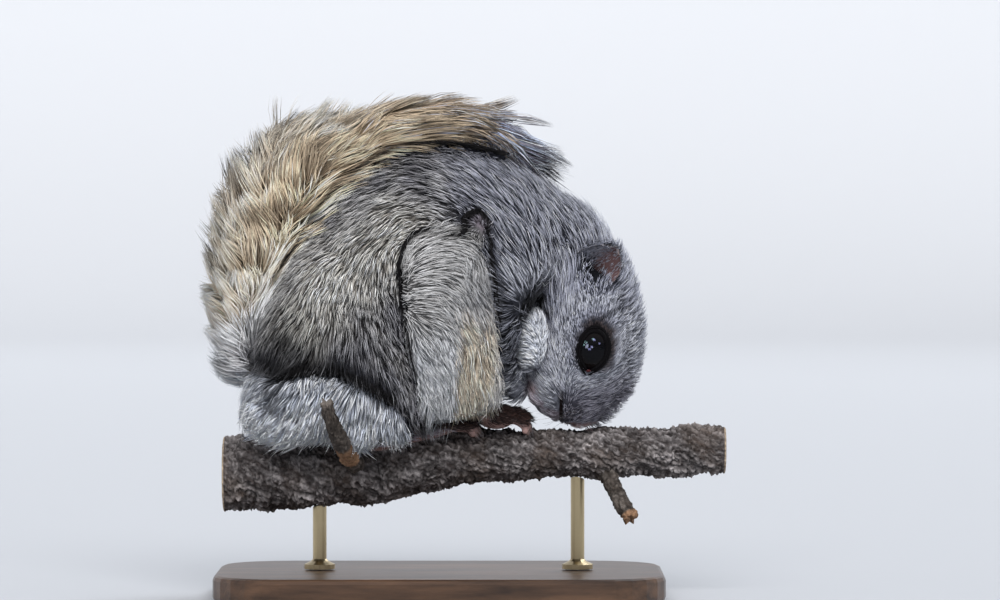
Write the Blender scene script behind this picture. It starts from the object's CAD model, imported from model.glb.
# %% [markdown]
# # A flying squirrel on a cut branch
# The real thing is a small Siberian flying squirrel, hunched head down on a pine branch with its
# tail laid up over its back. Here it is a life-size still model on a display stand. The solids
# give every part's place and outline, and this file dresses them: one skin under the whole
# animal, a coat of fine tapered tufts, and eyes, ears, nose and claws as pieces of their own.
# Shapes are in millimetres until a mesh is made. Lamps and finishes are in metres.

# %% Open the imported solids
import math

import bpy
import numpy as np
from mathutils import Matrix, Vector
from mathutils.bvhtree import BVHTree


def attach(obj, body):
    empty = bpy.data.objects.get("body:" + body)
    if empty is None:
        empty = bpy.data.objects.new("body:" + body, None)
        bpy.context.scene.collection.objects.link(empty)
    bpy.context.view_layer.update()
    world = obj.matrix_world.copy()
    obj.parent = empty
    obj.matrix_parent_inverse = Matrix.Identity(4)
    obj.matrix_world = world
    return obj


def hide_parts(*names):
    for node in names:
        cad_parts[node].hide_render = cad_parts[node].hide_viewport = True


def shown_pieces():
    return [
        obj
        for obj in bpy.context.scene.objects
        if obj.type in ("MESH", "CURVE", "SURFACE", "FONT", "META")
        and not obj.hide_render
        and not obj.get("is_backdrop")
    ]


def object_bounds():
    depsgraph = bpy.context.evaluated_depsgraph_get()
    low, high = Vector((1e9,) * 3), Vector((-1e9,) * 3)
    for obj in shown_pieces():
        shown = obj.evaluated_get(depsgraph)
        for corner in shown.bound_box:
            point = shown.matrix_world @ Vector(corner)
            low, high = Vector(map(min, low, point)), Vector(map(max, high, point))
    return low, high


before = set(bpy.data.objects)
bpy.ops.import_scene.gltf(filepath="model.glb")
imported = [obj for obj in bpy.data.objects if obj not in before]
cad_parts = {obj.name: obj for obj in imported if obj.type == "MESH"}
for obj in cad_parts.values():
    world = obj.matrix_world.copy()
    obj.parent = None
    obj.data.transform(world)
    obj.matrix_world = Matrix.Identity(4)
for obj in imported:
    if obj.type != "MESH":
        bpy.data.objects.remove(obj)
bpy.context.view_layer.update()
MM = 0.001
SEED = 5

# %% [markdown]
# ## The animal's driving rows
# The solids grew from rows of sections: the outer end of each section, its inner end, and the
# half thickness across. The skin lies just inside the same outline, so the rows are repeated
# here. Only the eye's opening is this file's own: it looks more to the side and is narrower, to
# leave room for the rims of the lids.

# %% Rows shared with the solids
SPINE = (
    (-45.8, 40.5, -38, 38.2, 8), (-47, 45.4, -30.1, 37.6, 15), (-44.9, 53, -23.7, 37.8, 19.5),
    (-42.1, 63, -19.1, 38.6, 22), (-35.8, 77.7, -14.4, 41, 23.5), (-24.9, 92.8, -9.3, 43.2, 24),
    (-13.3, 101.4, -4.2, 43.6, 24), (-1.4, 104.7, 1.2, 43.8, 23.6), (9.8, 104, 7, 44.2, 22.6),
    (19.5, 100.2, 12.3, 46, 21.2), (27, 95.3, 16, 50.7, 19.6), (32.1, 91.9, 18.6, 60.7, 18),
    (35.3, 89.3, 20.9, 68.1, 17), (39.1, 84.2, 20.7, 63.7, 16.8), (42.8, 77.7, 20, 58.4, 16.6),
    (45.3, 69.8, 19.5, 53, 16.2), (46.3, 61.9, 20.2, 48.8, 15.5), (45.8, 55.3, 21.6, 46, 13.8),
    (44.2, 49.3, 23.3, 43.8, 11.2), (40.9, 44.6, 24.9, 42, 8.6), (38, 41.9, 26.6, 40.8, 6.8),
    (35.6, 40.3, 28.4, 40.1, 4.8),
)
RUMP_TIP, NOSE_TIP = (-43.3, 0, 38.9), (32.2, 0, 39.6)
HAUNCH = (
    (-41.4, 62.5, -41.4, 52.1, 7, 13, 15), (-37.7, 72, -36, 50.4, 9, 12.5, 18.5),
    (-32.6, 80, -30.2, 51.2, 10.5, 11, 20), (-26.7, 86, -23.7, 51.4, 11, 9.5, 20.8),
    (-20.5, 88.6, -18.1, 48.4, 11, 8.8, 21), (-14.9, 88, -12.6, 45.4, 10.5, 9.5, 20.2),
    (-10.7, 83.5, -7.9, 41.4, 9, 12, 18.4), (-8.8, 71, -4.2, 37, 6.8, 17, 16.6),
)
HAUNCH_ENDS = ((-42.8, 14, 56.8), (-5, 16, 47))
SHANK = (
    (-45, 46.5, -44.6, 40.8, 5.6, 8.8, 8.8), (-41.3, 49.5, -40.8, 36.9, 7.6, 11.2, 11.2),
    (-35.5, 51, -36, 35.2, 8.8, 13.8, 13.8), (-29.5, 51.8, -30, 36.2, 9.4, 15.3, 14.8),
    (-23.5, 51.5, -24, 36, 9.4, 16.3, 14.8), (-18, 49.5, -18.5, 33.8, 8.8, 16.3, 14.8),
    (-13, 46.5, -13.5, 36.2, 7.4, 15.3, 14.4), (-9, 43, -9.2, 37.7, 5, 14.3, 14),
)
SHANK_ENDS = ((-47.2, 8.5, 43.4), (-6.5, 14.2, 40))
FORELEG = (
    (-5.3, 85.4, 7, 86.2, 4.4, 19, 19), (-8.5, 82.2, 10.2, 81.8, 5.8, 21, 21),
    (-9.2, 75.6, 11.8, 73.6, 6.4, 22.8, 22.4), (-8.8, 66.4, 13, 64.2, 6.4, 23.4, 22.4),
    (-7, 56, 13.9, 54.8, 6.2, 22.6, 20.6), (-5.1, 47.4, 14.6, 47.4, 5.8, 18.6, 17.2),
    (-3.6, 41.6, 11.6, 43.6, 4.4, 14.6, 13.4),
)
FORELEG_ENDS = ((1.6, 18, 87.2), (4, 13, 40.6))
ELBOW = (8.9, 21.2, 84.6)
TAIL = (
    (-38.2, 45.8, -37, 47.4, 1.5), (-44, 45.6, -36.9, 51.2, 6), (-50.6, 49.2, -39.6, 57, 9.5),
    (-54, 59.6, -40.2, 61.8, 13), (-54.8, 70, -37.4, 69.2, 16), (-55.4, 81.6, -31, 80.2, 18),
    (-50.8, 98, -24.8, 87.8, 19), (-40.4, 110.8, -20.4, 94.8, 19), (-25.2, 113.3, -14.6, 99.6, 18.5),
    (-12.6, 115.8, -9, 102.6, 17), (0.6, 116.4, 0.4, 104.2, 15), (12.2, 113, 8.4, 103.8, 12),
    (19.4, 108, 15.6, 101.4, 7.5), (25.4, 99.8, 24, 98.6, 1.2),
)
EYE_RADIUS = 5.9
EYE_CENTRE = (35.1, 11.9, 57.8)
EYE_LOOK = (0.05, 0.99, -0.03)
LID_HALF_WIDTH, LID_HALF_LENGTH, LID_LEAN = 3.55, 5.05, 12.0
MOUTH_X = 28.1
SIDES = ((-1, "right"), (1, "left"))
print("rows", len(SPINE), len(HAUNCH), len(SHANK), len(FORELEG), len(TAIL))

# %% [markdown]
# ## Camera, floor and light
# A long lens from the animal's right side at branch height gives the flat, close view of a
# wildlife picture. The floor sweeps up into a round pale wall, so no edge shows from any side.
# A wide soft sun and a bright sky stand in for overcast light, with a cooler sun behind for the
# bright rim. Small lamps shine on the eyeballs alone, as a wood's broken light does in an eye.

# %% Camera at the viewing angle
PIXELS_PER_MM, PIXEL_OF_X0, PIXEL_OF_FLOOR = 4.3, 440, 596.0
AIM = np.array([(500 - PIXEL_OF_X0) / PIXELS_PER_MM, 0, (PIXEL_OF_FLOOR - 300) / PIXELS_PER_MM])
DISTANCE, ELEVATION = 1200, 1.0
lens = bpy.data.cameras.new("Camera")
lens.sensor_width = 36.0
lens.lens = 36.0 * DISTANCE / (1000 / PIXELS_PER_MM)
lens.clip_start, lens.clip_end = 0.05, 20.0
camera = bpy.data.objects.new("Camera", lens)
bpy.context.scene.collection.objects.link(camera)
rise = math.radians(ELEVATION)
away = np.array([0, -math.cos(rise), math.sin(rise)])
camera.location = Vector((AIM + away * DISTANCE) * MM)
camera.rotation_euler = (math.pi / 2 - rise, 0, 0)
bpy.context.scene.camera = camera
print("lens", round(lens.lens, 1), "mm, frame", round(1000 / PIXELS_PER_MM, 1), "mm wide")


# %% Lamps
EYE_LAMPS, EYE_LAMP_POWER = 13, 95
EYE_LAMP_COLOURS = ((0.5, 0.5, 1), (0.66, 0.72, 1), (0.5, 0.82, 0.86))


def lamp(name, place, kind, power, colour, **sizes):
    """A lamp turned towards the model: a wide sun for even soft light, or a small square one."""
    light = bpy.data.lights.new(name, kind)
    light.energy, light.color = power, colour
    for key, value in sizes.items():
        setattr(light, key, value)
    made = bpy.data.objects.new(name, light)
    made.location = place
    made.rotation_euler = (Vector((0, 0, 0.07)) - Vector(place)).to_track_quat("-Z", "Y").to_euler()
    bpy.context.scene.collection.objects.link(made)
    return made


key = lamp("key_sky", (0.02, -1, 0.66), "SUN", 4.3, (0.985, 0.985, 1), angle=math.radians(50))
key.visible_glossy = False
lamp("rim_sky", (0.5, 0.55, 0.95), "SUN", 1.3, (0.88, 0.93, 1), angle=math.radians(25))
eye_glass = bpy.data.collections.new("eye_glass")
eye_draw = np.random.default_rng(7)
for number in range(EYE_LAMPS):
    place = (eye_draw.uniform(-0.62, 0.72), -0.8, 0.03 + 0.85 * eye_draw.uniform() ** 1.3)
    width = eye_draw.uniform(0.09, 0.2)
    glint_lamp = lamp(f"eye_lamp_{number + 1}", place, "AREA", EYE_LAMP_POWER * width**2,
                      EYE_LAMP_COLOURS[number % 3], size=width)
    glint_lamp.visible_diffuse = False
    glint_lamp.light_linking.receiver_collection = eye_glass
world = bpy.data.worlds.new("Sky")
world.use_nodes = True
sky = world.node_tree.nodes["Background"]
sky.inputs["Color"].default_value = (0.9, 0.93, 1, 1)
sky.inputs["Strength"].default_value = 0.62
bpy.context.scene.world = world
bpy.context.scene.view_settings.view_transform = "Standard"
print("lamps", len(bpy.data.lights))

# %% [markdown]
# ## Working out surfaces as arrays
# Rows become smooth surfaces in three steps: a Catmull-Rom curve runs through the rows, each row
# opens into a superellipse, and the grid of points is joined by quads.

# %% Curves and sections
def at_rows(rows, places):
    """Catmull-Rom curve through rows, read at places counted in rows: 2.5 is half way past the third."""
    rows = np.asarray(rows, float)
    padded = np.vstack([2 * rows[0] - rows[1], rows, 2 * rows[-1] - rows[-2]])
    places = np.clip(np.asarray(places, float), 0, len(rows) - 1)
    first = np.minimum(places.astype(int), len(rows) - 2)
    t = (places - first)[:, None]
    a, b, c, d = (padded[first + k] for k in range(4))
    return 0.5 * (2 * b + (c - a) * t + (2 * a - 5 * b + 4 * c - d) * t**2 + (3 * b - a - 3 * c + d) * t**3)


def through(rows, count):
    """The curve at evenly spaced places."""
    return at_rows(rows, np.linspace(0, len(rows) - 1, count))


def run_along(points):
    """Distance along a line of points to each of them."""
    return np.concatenate([[0], np.cumsum(np.linalg.norm(np.diff(points, axis=0), axis=1))])


def turns(count):
    """Angles that share out one full turn."""
    return 2 * np.pi * np.arange(count) / count


def blend(first, second, weight):
    """first * (1 - weight) + second * weight."""
    return np.asarray(first) * (1 - weight) + np.asarray(second) * weight


def sections(rows, sides, power):
    """Superellipse round each row: |across|^power + |y|^power = 1 between the row's two ends."""
    angle = turns(sides)
    across, side_y = (np.sign(f) * np.abs(f) ** (2 / power) for f in (np.cos(angle), np.sin(angle)))
    outer, inner = rows[:, None, 0:2], rows[:, None, 2:4]
    flat = (outer + inner) / 2 + (outer - inner) / 2 * across[None, :, None]
    y = rows[:, 4:5] * side_y
    if rows.shape[1] > 5:
        y = y + (rows[:, 5:6] + rows[:, 6:7]) / 2 + (rows[:, 5:6] - rows[:, 6:7]) / 2 * across
    return np.stack([flat[..., 0], y, flat[..., 1]], axis=2)


def unit(vectors):
    """Vectors divided by their own length."""
    return vectors / np.maximum(np.linalg.norm(vectors, axis=-1, keepdims=True), 1e-9)


def grid_normals(grid):
    """Cross product of the grid's two directions, turned away from each ring's middle."""
    along = np.gradient(grid, axis=0)
    around = np.roll(grid, -1, 1) - np.roll(grid, 1, 1)
    normal = unit(np.cross(along, around))
    outward = grid - grid.mean(axis=1, keepdims=True)
    return normal * np.sign(np.sum(normal * outward, axis=(1, 2)))[:, None, None]


def ring_faces(rows, sides):
    """Quads that join each ring of a grid to the next one round the ring."""
    i, j = np.indices((rows - 1, sides))
    here, beyond = i * sides + j, i * sides + (j + 1) % sides
    return np.stack([here, beyond, beyond + sides, here + sides], -1).reshape(-1, 4)


def closed(grid, start=None, end=None):
    """Points, quads and triangles of a tube closed by a fan at each end, faces outwards."""
    rows, sides = grid.shape[:2]
    start = grid[0].mean(0) if start is None else np.asarray(start, float)
    end = grid[-1].mean(0) if end is None else np.asarray(end, float)
    points = np.vstack([grid.reshape(-1, 3), start, end])
    quads = ring_faces(rows, sides)
    j = np.arange(sides)
    k = (j + 1) % sides
    first = np.stack([k, j, np.full(sides, rows * sides)], -1)
    last = (rows - 1) * sides
    final = np.stack([last + j, last + k, np.full(sides, rows * sides + 1)], -1)
    tris = np.vstack([first, final])
    if volume(points, quads, tris) < 0:
        quads, tris = quads[:, ::-1], tris[:, ::-1]
    return points, quads, tris


def volume(points, quads, tris):
    """Sum of the corner products of every triangle over six: positive when faces look outwards."""
    split = np.vstack([tris, quads[:, [0, 1, 2]], quads[:, [0, 2, 3]]])
    a, b, c = (points[split[:, k]] for k in range(3))
    return float(np.sum(a * np.cross(b, c)) / 6)


def ball(centre, radii, sides=32, rings=20, power=1):
    """An ellipsoid as a closed grid: sine of the polar angle times the radii."""
    polar = (np.pi * (np.arange(rings) + 1) / (rings + 1))[:, None]
    angle, round_way = turns(sides), np.sin(polar) ** power
    shape = np.stack([round_way * np.cos(angle), round_way * np.sin(angle),
                      np.repeat(np.cos(polar), sides, axis=1)], axis=2)
    centre, radii = np.asarray(centre, float), np.asarray(radii, float)
    return closed(centre + radii * shape, centre + radii * (0, 0, 1), centre - radii * (0, 0, 1))


def spokes(ahead, first, sides):
    """Unit vectors square to ahead, round from the first: cos(angle) first + sin(angle) second."""
    angle = turns(sides)[None, :, None]
    return np.cos(angle) * first[:, None] + np.sin(angle) * np.cross(ahead, first)[:, None]


def along_path(path, sides):
    """The way a path runs at each of its points, and the spokes round it there."""
    ahead = unit(np.gradient(path, axis=0))
    return ahead, spokes(ahead, unit(np.cross(ahead, (0.13, 0.21, 0.97))), sides)


def tube(path, radii, sides=12, count=None):
    """A round tube: circles of the given radii square to a Catmull-Rom path, with rounded ends."""
    rows = np.column_stack([np.asarray(path, float), np.asarray(radii, float)])
    if count is not None:
        rows = through(rows, count)
    path, radii = rows[:, :3], rows[:, 3]
    ahead, ways = along_path(path, sides)
    grid = path[:, None] + radii[:, None, None] * ways
    return closed(grid, path[0] - ahead[0] * radii[0] * 0.6, path[-1] + ahead[-1] * radii[-1] * 0.6)


def beside(point, side):
    return np.array((point[0], point[1] * side, point[2]), float)


def mirrored(rows, side):
    """Rows whose y is a distance from the middle, set on one side: -1 is the animal's right."""
    rows = np.array(rows, float)
    rows[:, 5:7] *= side
    return rows


# %% From arrays to Blender meshes
def joined(parts):
    """Several closed parts as one set of points, quads and triangles."""
    points, quads, tris, count = [], [], [], 0
    for p, q, t in parts:
        points.append(p)
        quads.append(q + count)
        tris.append(t + count)
        count += len(p)
    return np.vstack(points), np.vstack(quads), np.vstack(tris)


def mesh_object(name, points, *faces):
    """An object at the origin over points in mm; faces are arrays of three or four corners."""
    mesh = bpy.data.meshes.new(name)
    mesh.vertices.add(len(points))
    mesh.vertices.foreach_set("co", (np.asarray(points) * MM).astype(np.float32).ravel())
    faces = [f for f in faces if len(f)]
    corners = np.concatenate([f.ravel() for f in faces]).astype(np.int32)
    sizes = np.concatenate([np.full(len(f), f.shape[1]) for f in faces])
    mesh.loops.add(len(corners))
    mesh.loops.foreach_set("vertex_index", corners)
    mesh.polygons.add(len(sizes))
    mesh.polygons.foreach_set("loop_start", np.concatenate([[0], np.cumsum(sizes)[:-1]]).astype(np.int32))
    mesh.update(calc_edges=True)
    mesh.shade_smooth()
    made = bpy.data.objects.new(name, mesh)
    bpy.context.scene.collection.objects.link(made)
    return made


def painted(made, colour):
    """Stores one colour for each point, or the same for all, as coat_colour."""
    colour = np.broadcast_to(colour, (len(made.data.vertices), 3))
    rgba = np.column_stack([colour, np.ones(len(colour))]).astype(np.float32)
    made.data.attributes.new("coat_colour", "FLOAT_COLOR", "POINT").data.foreach_set("color", rgba.ravel())


def finished(made, material, slot, *nodes):
    """Gives a piece its material, its slot and its body, and hides the solids it stands for."""
    made.data.materials.clear()
    made.data.materials.append(material)
    if nodes:
        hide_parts(*nodes)
    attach(made, "root")
    return made


def piece(name, shape, colour, material, slot, *nodes):
    """A whole piece: its mesh, its painted colour, its material, slot and body."""
    made = mesh_object(name, *shape)
    painted(made, colour)
    return finished(made, material, slot, *nodes)


def remeshed(name, parts, voxel, smoothing):
    """One closed surface over overlapping parts: a voxel remesh, then a few rounds of smoothing."""
    made = mesh_object(name, *joined(parts))
    remesh = made.modifiers.new("Union", "REMESH")
    remesh.mode, remesh.voxel_size = "VOXEL", voxel * MM
    relax = made.modifiers.new("Relax", "SMOOTH")
    relax.factor, relax.iterations = 0.5, smoothing
    graph = bpy.context.evaluated_depsgraph_get()
    result = bpy.data.meshes.new_from_object(made.evaluated_get(graph))
    made.modifiers.clear()
    old, made.data = made.data, result
    bpy.data.meshes.remove(old)
    result.name = name
    result.shade_smooth()
    return made


def arrays_of(made):
    """An all-quad mesh as arrays: points in mm, their normals, and the corners of each quad."""
    mesh = made.data
    points = np.zeros(len(mesh.vertices) * 3, np.float32)
    mesh.vertices.foreach_get("co", points)
    corners = np.zeros(len(mesh.loops), np.int32)
    mesh.loops.foreach_get("vertex_index", corners)
    points, quads = points.reshape(-1, 3).astype(float) / MM, corners.reshape(-1, 4)
    return points, vertex_normals(points, quads), quads


def vertex_normals(points, quads):
    """Mean of the cross products of each quad's diagonals, gathered at its corners."""
    a, b, c, d = (points[quads[:, k]] for k in range(4))
    face = np.cross(c - a, d - b)
    total = np.zeros_like(points)
    for k in range(4):
        for axis in range(3):
            total[:, axis] += np.bincount(quads[:, k], face[:, axis], len(points))
    return unit(total)


# %% [markdown]
# ## A pale sweep to stand on
# A photographer's sweep is a floor that curves up into a wall. Turned about the middle it makes
# a wide shallow bowl, so the background is plain from every side.

# %% Floor
FLOOR_SIDES, FLAT_RADIUS, BEND_RADIUS = 96, 2400, 900
turn = turns(FLOOR_SIDES)
profile = np.array([(r, 0) for r in (20, 400, 1000, 1800, FLAT_RADIUS)]
                   + [(FLAT_RADIUS + BEND_RADIUS * math.sin(a), BEND_RADIUS - BEND_RADIUS * math.cos(a))
                      for a in np.linspace(0.15, 1.5, 12)] + [(3310, 1500)])
bowl = np.stack([profile[:, :1] * np.cos(turn), profile[:, :1] * np.sin(turn),
                 np.repeat(profile[:, 1:], FLOOR_SIDES, axis=1)], axis=2)
floor_points = np.vstack([bowl.reshape(-1, 3), (0, 0, 0)])
first = np.arange(FLOOR_SIDES)
hub = np.stack([first, (first + 1) % FLOOR_SIDES, np.full(FLOOR_SIDES, len(floor_points) - 1)], -1)
floor = mesh_object("floor", floor_points, ring_faces(len(profile), FLOOR_SIDES)[:, ::-1], hub)
paper = bpy.data.materials.new("pale_paper")
paper.use_nodes = True
shader = paper.node_tree.nodes["Principled BSDF"]
shader.inputs["Base Color"].default_value = (0.49, 0.5, 0.515, 1)
shader.inputs["Roughness"].default_value = 0.9
floor.data.materials.append(paper)
floor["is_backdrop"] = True
print("floor", len(floor_points), "points")

# %% [markdown]
# ## The forms under the skin
# Each form is the same section loft as its solid, drawn in by the depth of the coat that will
# grow on it: deep on the body, thin on the face. Small balls add the whisker pads, chin, nose,
# lids and the white cheek. They overlap freely, because the next step melts them into one skin.

# %% Lofts drawn in by the coat's depth
BODY_DEPTH, NECK_DEPTH, HEAD_DEPTH, MUZZLE_DEPTH = 2.4, 2.1, 1.1, 0.55
# Each limb's rows, its ends, the power of its sections, and its depth of coat.
LIMBS = (("haunch", HAUNCH, HAUNCH_ENDS, 2.5, 2.3), ("shank", SHANK, SHANK_ENDS, 2.2, 3),
         ("sleeve", FORELEG, FORELEG_ENDS, 2.6, 1.9))
TAIL_CORE = 0.42

# Centre and radii of the small forms on each side: whisker pad, lip, wing and side of the nose,
# jaw, eye, elbow, and three that fill the fold between haunch and shank.
SIDE_FORMS = (
    ((31.8, 4.1, 44.4), (3.3, 3.1, 3.6)), ((30.6, 2, 43), (2.5, 3, 2.9)),
    ((33.5, 1.7, 42.7), (2.7, 2.6, 2.6)), ((34.4, 1.9, 45), (3.2, 3.1, 3.6)),
    ((24.4, 4, 47.4), (3, 3.2, 3.6)), (EYE_CENTRE, (6.3, 6.3, 6.3)), (ELBOW, (2, 2, 2.6)),
    ((-30, 16.8, 49), (9, 6.2, 5)), ((-19, 17.4, 48), (9, 6.2, 5.5)),
    ((-12, 15.5, 43.5), (5.5, 6, 4.5)),
)
# The groove between tail and back, which three soft tubes fill.
CREASE = ((-36.5, 52), (-36, 62), (-32, 75), (-26, 86), (-17, 95.5), (-7, 101.5),
          (4, 103.5), (15, 102))
CREASE_RADII = (1.2, 2, 2.6, 2.9, 2.8, 2.4, 1.9, 1)


def drawn_in(rows, sides, power, depth):
    """A loft's grid moved against its normals by depth, one value for all or one for each row."""
    grid = sections(rows, sides, power)
    normal = grid_normals(grid)
    return grid - normal * np.broadcast_to(depth, (len(rows),))[:, None, None], normal


spine_places = np.linspace(0, len(SPINE) - 1, 130)
spine_depth = np.interp(spine_places, (0, 5, 10, 12.5, 15, 19, 21),
                        (BODY_DEPTH, BODY_DEPTH, NECK_DEPTH, 1.5, HEAD_DEPTH, MUZZLE_DEPTH, 0.3))
FORMS = {"spine": drawn_in(at_rows(SPINE, spine_places), 72, 2.25, spine_depth)}
parts = [closed(FORMS["spine"][0], np.add(RUMP_TIP, (1.2, 0, 1.6)), NOSE_TIP)]
for side in (-1, 1):
    for name, rows, ends, power, depth in LIMBS:
        grid, normal = drawn_in(through(mirrored(rows, side), 44), 44, power, depth)
        middle = grid.mean(axis=(0, 1))
        tips = [beside(end, side) for end in ends]
        parts.append(closed(grid, *[tip + unit(middle - tip) * depth for tip in tips]))
        if side < 0:
            FORMS[name] = (grid, normal)
    parts += [ball(beside(centre, side), radii) for centre, radii in SIDE_FORMS]
    parts.append(ball(beside((21.8, 9.6, 60.6), side), (3.4, 5.6, 8), power=0.9))
parts += [ball((25.6, 0, 44.8), (2.5, 4.4, 3)), ball((17.2, 0, 57.6), (2.9, 11.5, 10.2), power=0.9),
          ball((17.6, 0, 50.2), (3.2, 8, 4.6))]
parts += [tube([(x, y, z) for x, z in CREASE], CREASE_RADII, sides=16, count=60) for y in (-7, 0, 7)]

# %% The tail's core
CORE_RINGS, CORE_SIDES, BARE_END = 90, 48, 12.0
TAIL_FINE = np.linspace(0, len(TAIL) - 1, 400)
fine_rows = at_rows(TAIL, TAIL_FINE)
TAIL_RUN = run_along((fine_rows[:, 0:2] + fine_rows[:, 2:4]) / 2)
TAIL_END = TAIL_RUN[-1]


def tail_section(along):
    """The tail's middle, the reach from it to the outer edge, and the half width across."""
    rows = at_rows(TAIL, np.interp(along, TAIL_RUN, TAIL_FINE))
    return (rows[:, 0:2] + rows[:, 2:4]) / 2, (rows[:, 0:2] - rows[:, 2:4]) / 2, rows[:, 4]


def tail_map(along, angle, share):
    """Point at a share of the way out from the tail's middle line, angle 0 at its outer edge."""
    middle, reach, half_y = tail_section(along)
    flat = middle + reach * (np.cos(angle) * share)[:, None]
    return np.column_stack([flat[:, 0], half_y * np.sin(angle) * share, flat[:, 1]])


core_along = np.linspace(0.5, TAIL_END - BARE_END, CORE_RINGS)
spread_along, spread_angle = (a.ravel() for a in np.meshgrid(core_along, turns(CORE_SIDES), indexing="ij"))
core = tail_map(spread_along, spread_angle, np.full(len(spread_along), TAIL_CORE))
core = core.reshape(CORE_RINGS, CORE_SIDES, 3)
FORMS["tail"] = (core, grid_normals(core))
parts.append(closed(core))
print("forms", list(FORMS), "parts", len(parts), "tail run", round(float(TAIL_END), 1), "mm")

# %% [markdown]
# ## One skin
# A real skin has no seams where neck meets shoulder, so neither has this one: the forms are
# voxel remeshed together, smoothed a little, and the eye sockets are pressed in afterwards.
# The map OFBake is an unwrap of this skin, and each tuft later sits at its root's place on it.

# %% Melt the forms together
SKIN_VOXEL = 0.62
skin = remeshed("skin", parts, SKIN_VOXEL, 3)
skin_points, skin_normals, skin_quads = arrays_of(skin)
skin_x, skin_y, skin_z = skin_points.T
print("skin", len(skin_points), "points", len(skin_quads), "quads")


# %% Press the sockets in
SOCKET_DEPTH = 5.0


def patch(points, x, z, half_x, half_z):
    """A soft oval patch in the side view, 1 at its middle."""
    return np.exp(-((points[:, 0] - x) / half_x) ** 2 - ((points[:, 2] - z) / half_z) ** 2)


def eye_axes(side):
    """The eye's own directions: the way it looks, up along the leaning opening, and across."""
    look = unit(beside(EYE_LOOK, side))
    lean = math.radians(LID_LEAN)
    up = np.array((math.sin(lean), 0, math.cos(lean)))
    up = unit(up - look * (up @ look))
    return look, up, np.cross(look, up)


def eye_oval(points, side=-1):
    """How far points lie from the eye's middle, counted in sizes of the lids' opening."""
    look, up, across = eye_axes(side)
    offset = points - beside(EYE_CENTRE, side)
    flat = np.hypot((offset @ across) / LID_HALF_WIDTH, (offset @ up) / LID_HALF_LENGTH)
    return np.where(offset @ look > 0, flat, 9)


for side, _ in SIDES:
    inside = (eye_oval(skin_points, side) < 1.02) & (np.sign(skin_y) == side)
    centre = beside(EYE_CENTRE, side)
    skin_points[inside] = (centre + unit(skin_points - centre) * SOCKET_DEPTH)[inside]
# A groove for the mouth, a dimple over the cheek puff, and a hollow where each ear stands.
groove = 0.75 * np.exp(-((skin_x - MOUTH_X) / 0.5) ** 2) * np.clip((49.2 - skin_z) / 1.5, 0, 1)
off_middle = np.abs(skin_y) > 6
in_ear = patch(skin_points, 36.2, 76, 2.6, 3.2) * off_middle
dimple = 1.6 * patch(skin_points, 22.3, 67.6, 2.2, 2) * off_middle
skin_points -= skin_normals * (groove + dimple + 3.2 * in_ear)[:, None]
skin.data.vertices.foreach_set("co", (skin_points * MM).astype(np.float32).ravel())
skin.data.update()
skin_normals = vertex_normals(skin_points, skin_quads)


# %% Unwrap
def unwrapped(made):
    """Adds the map OFBake, an unwrap of the piece's shape, and returns its value at each corner."""
    made.data.uv_layers.new(name="OFBake")
    bpy.ops.object.select_all(action="DESELECT")
    bpy.context.view_layer.objects.active = made
    made.select_set(True)
    bpy.ops.object.mode_set(mode="EDIT")
    bpy.ops.mesh.select_all(action="SELECT")
    bpy.ops.uv.smart_project(angle_limit=math.radians(66), island_margin=0.002)
    bpy.ops.object.mode_set(mode="OBJECT")
    found = np.zeros(len(made.data.loops) * 2, np.float32)
    made.data.uv_layers["OFBake"].data.foreach_get("uv", found)
    return found.reshape(-1, 4, 2)


skin_map = unwrapped(skin)
print("map", skin_map.shape, "spans", skin_map.min().round(3), skin_map.max().round(3))

# %% [markdown]
# ## Which form a place belongs to
# The lie, length and colour of the coat change from form to form, so every root has to know
# which form it stands on and where. Both sides of the animal are alike, so a place is folded
# over to the right side first and then compared with the right side's forms only.

# %% Nearest samples on the forms
FORM_NAMES = ("spine", "haunch", "shank", "sleeve", "tail")
SPINE_FORM, HAUNCH_FORM, SHANK_FORM, SLEEVE_FORM, TAIL_FORM = range(5)
SAMPLES = {}
for name in FORM_NAMES:
    grid, normal = FORMS[name]
    row, column = np.indices(grid.shape[:2])
    kept = ((grid[..., 1] < 0.6) & (row % 2 == 0) & (column % 2 == 0)).ravel()
    SAMPLES[name] = tuple(a[kept] for a in (
        grid.reshape(-1, 3), normal.reshape(-1, 3), row.ravel() / (grid.shape[0] - 1),
        2 * np.pi * column.ravel() / grid.shape[1]))
SAMPLE_REACH = 1.7


def nearest(points, others, chunk=4000):
    """Index of the nearest other point and its distance: |a - b|^2 = |a|^2 + |b|^2 - 2 a.b."""
    points, others = points.astype(np.float32), others.astype(np.float32)
    square = np.sum(others**2, axis=1)
    index, distance = np.zeros(len(points), int), np.zeros(len(points))
    for start in range(0, len(points), chunk):
        part = points[start:start + chunk]
        table = square - 2 * part @ others.T
        best = np.argmin(table, axis=1)
        index[start:start + chunk] = best
        distance[start:start + chunk] = np.sqrt(np.maximum(
            table[np.arange(len(part)), best] + np.sum(part**2, axis=1), 0))
    return index, distance


def folded(points):
    """Points brought over to the animal's right side."""
    return points * (1, 0, 1) - np.abs(points) * (0, 1, 0)


def over_form(right, name):
    """A form's nearest sample, each place's height over it, and the distance past its patch."""
    index, gap = nearest(right, SAMPLES[name][0])
    level = np.sum((right - SAMPLES[name][0][index]) * SAMPLES[name][1][index], axis=1)
    aside = np.sqrt(np.maximum(gap**2 - level**2, 0))
    return index, level, np.hypot(level, np.maximum(aside - SAMPLE_REACH, 0))


def placed(points):
    """For each form: its nearest sample, height and distance; and all distances and soft shares."""
    right = folded(points)
    found = {name: over_form(right, name) for name in FORM_NAMES}
    distance = np.stack([found[name][2] for name in FORM_NAMES], axis=1)
    share = np.exp(-(distance - distance.min(axis=1, keepdims=True)) / 0.35)
    return found, distance, share / share.sum(axis=1, keepdims=True)


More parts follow.
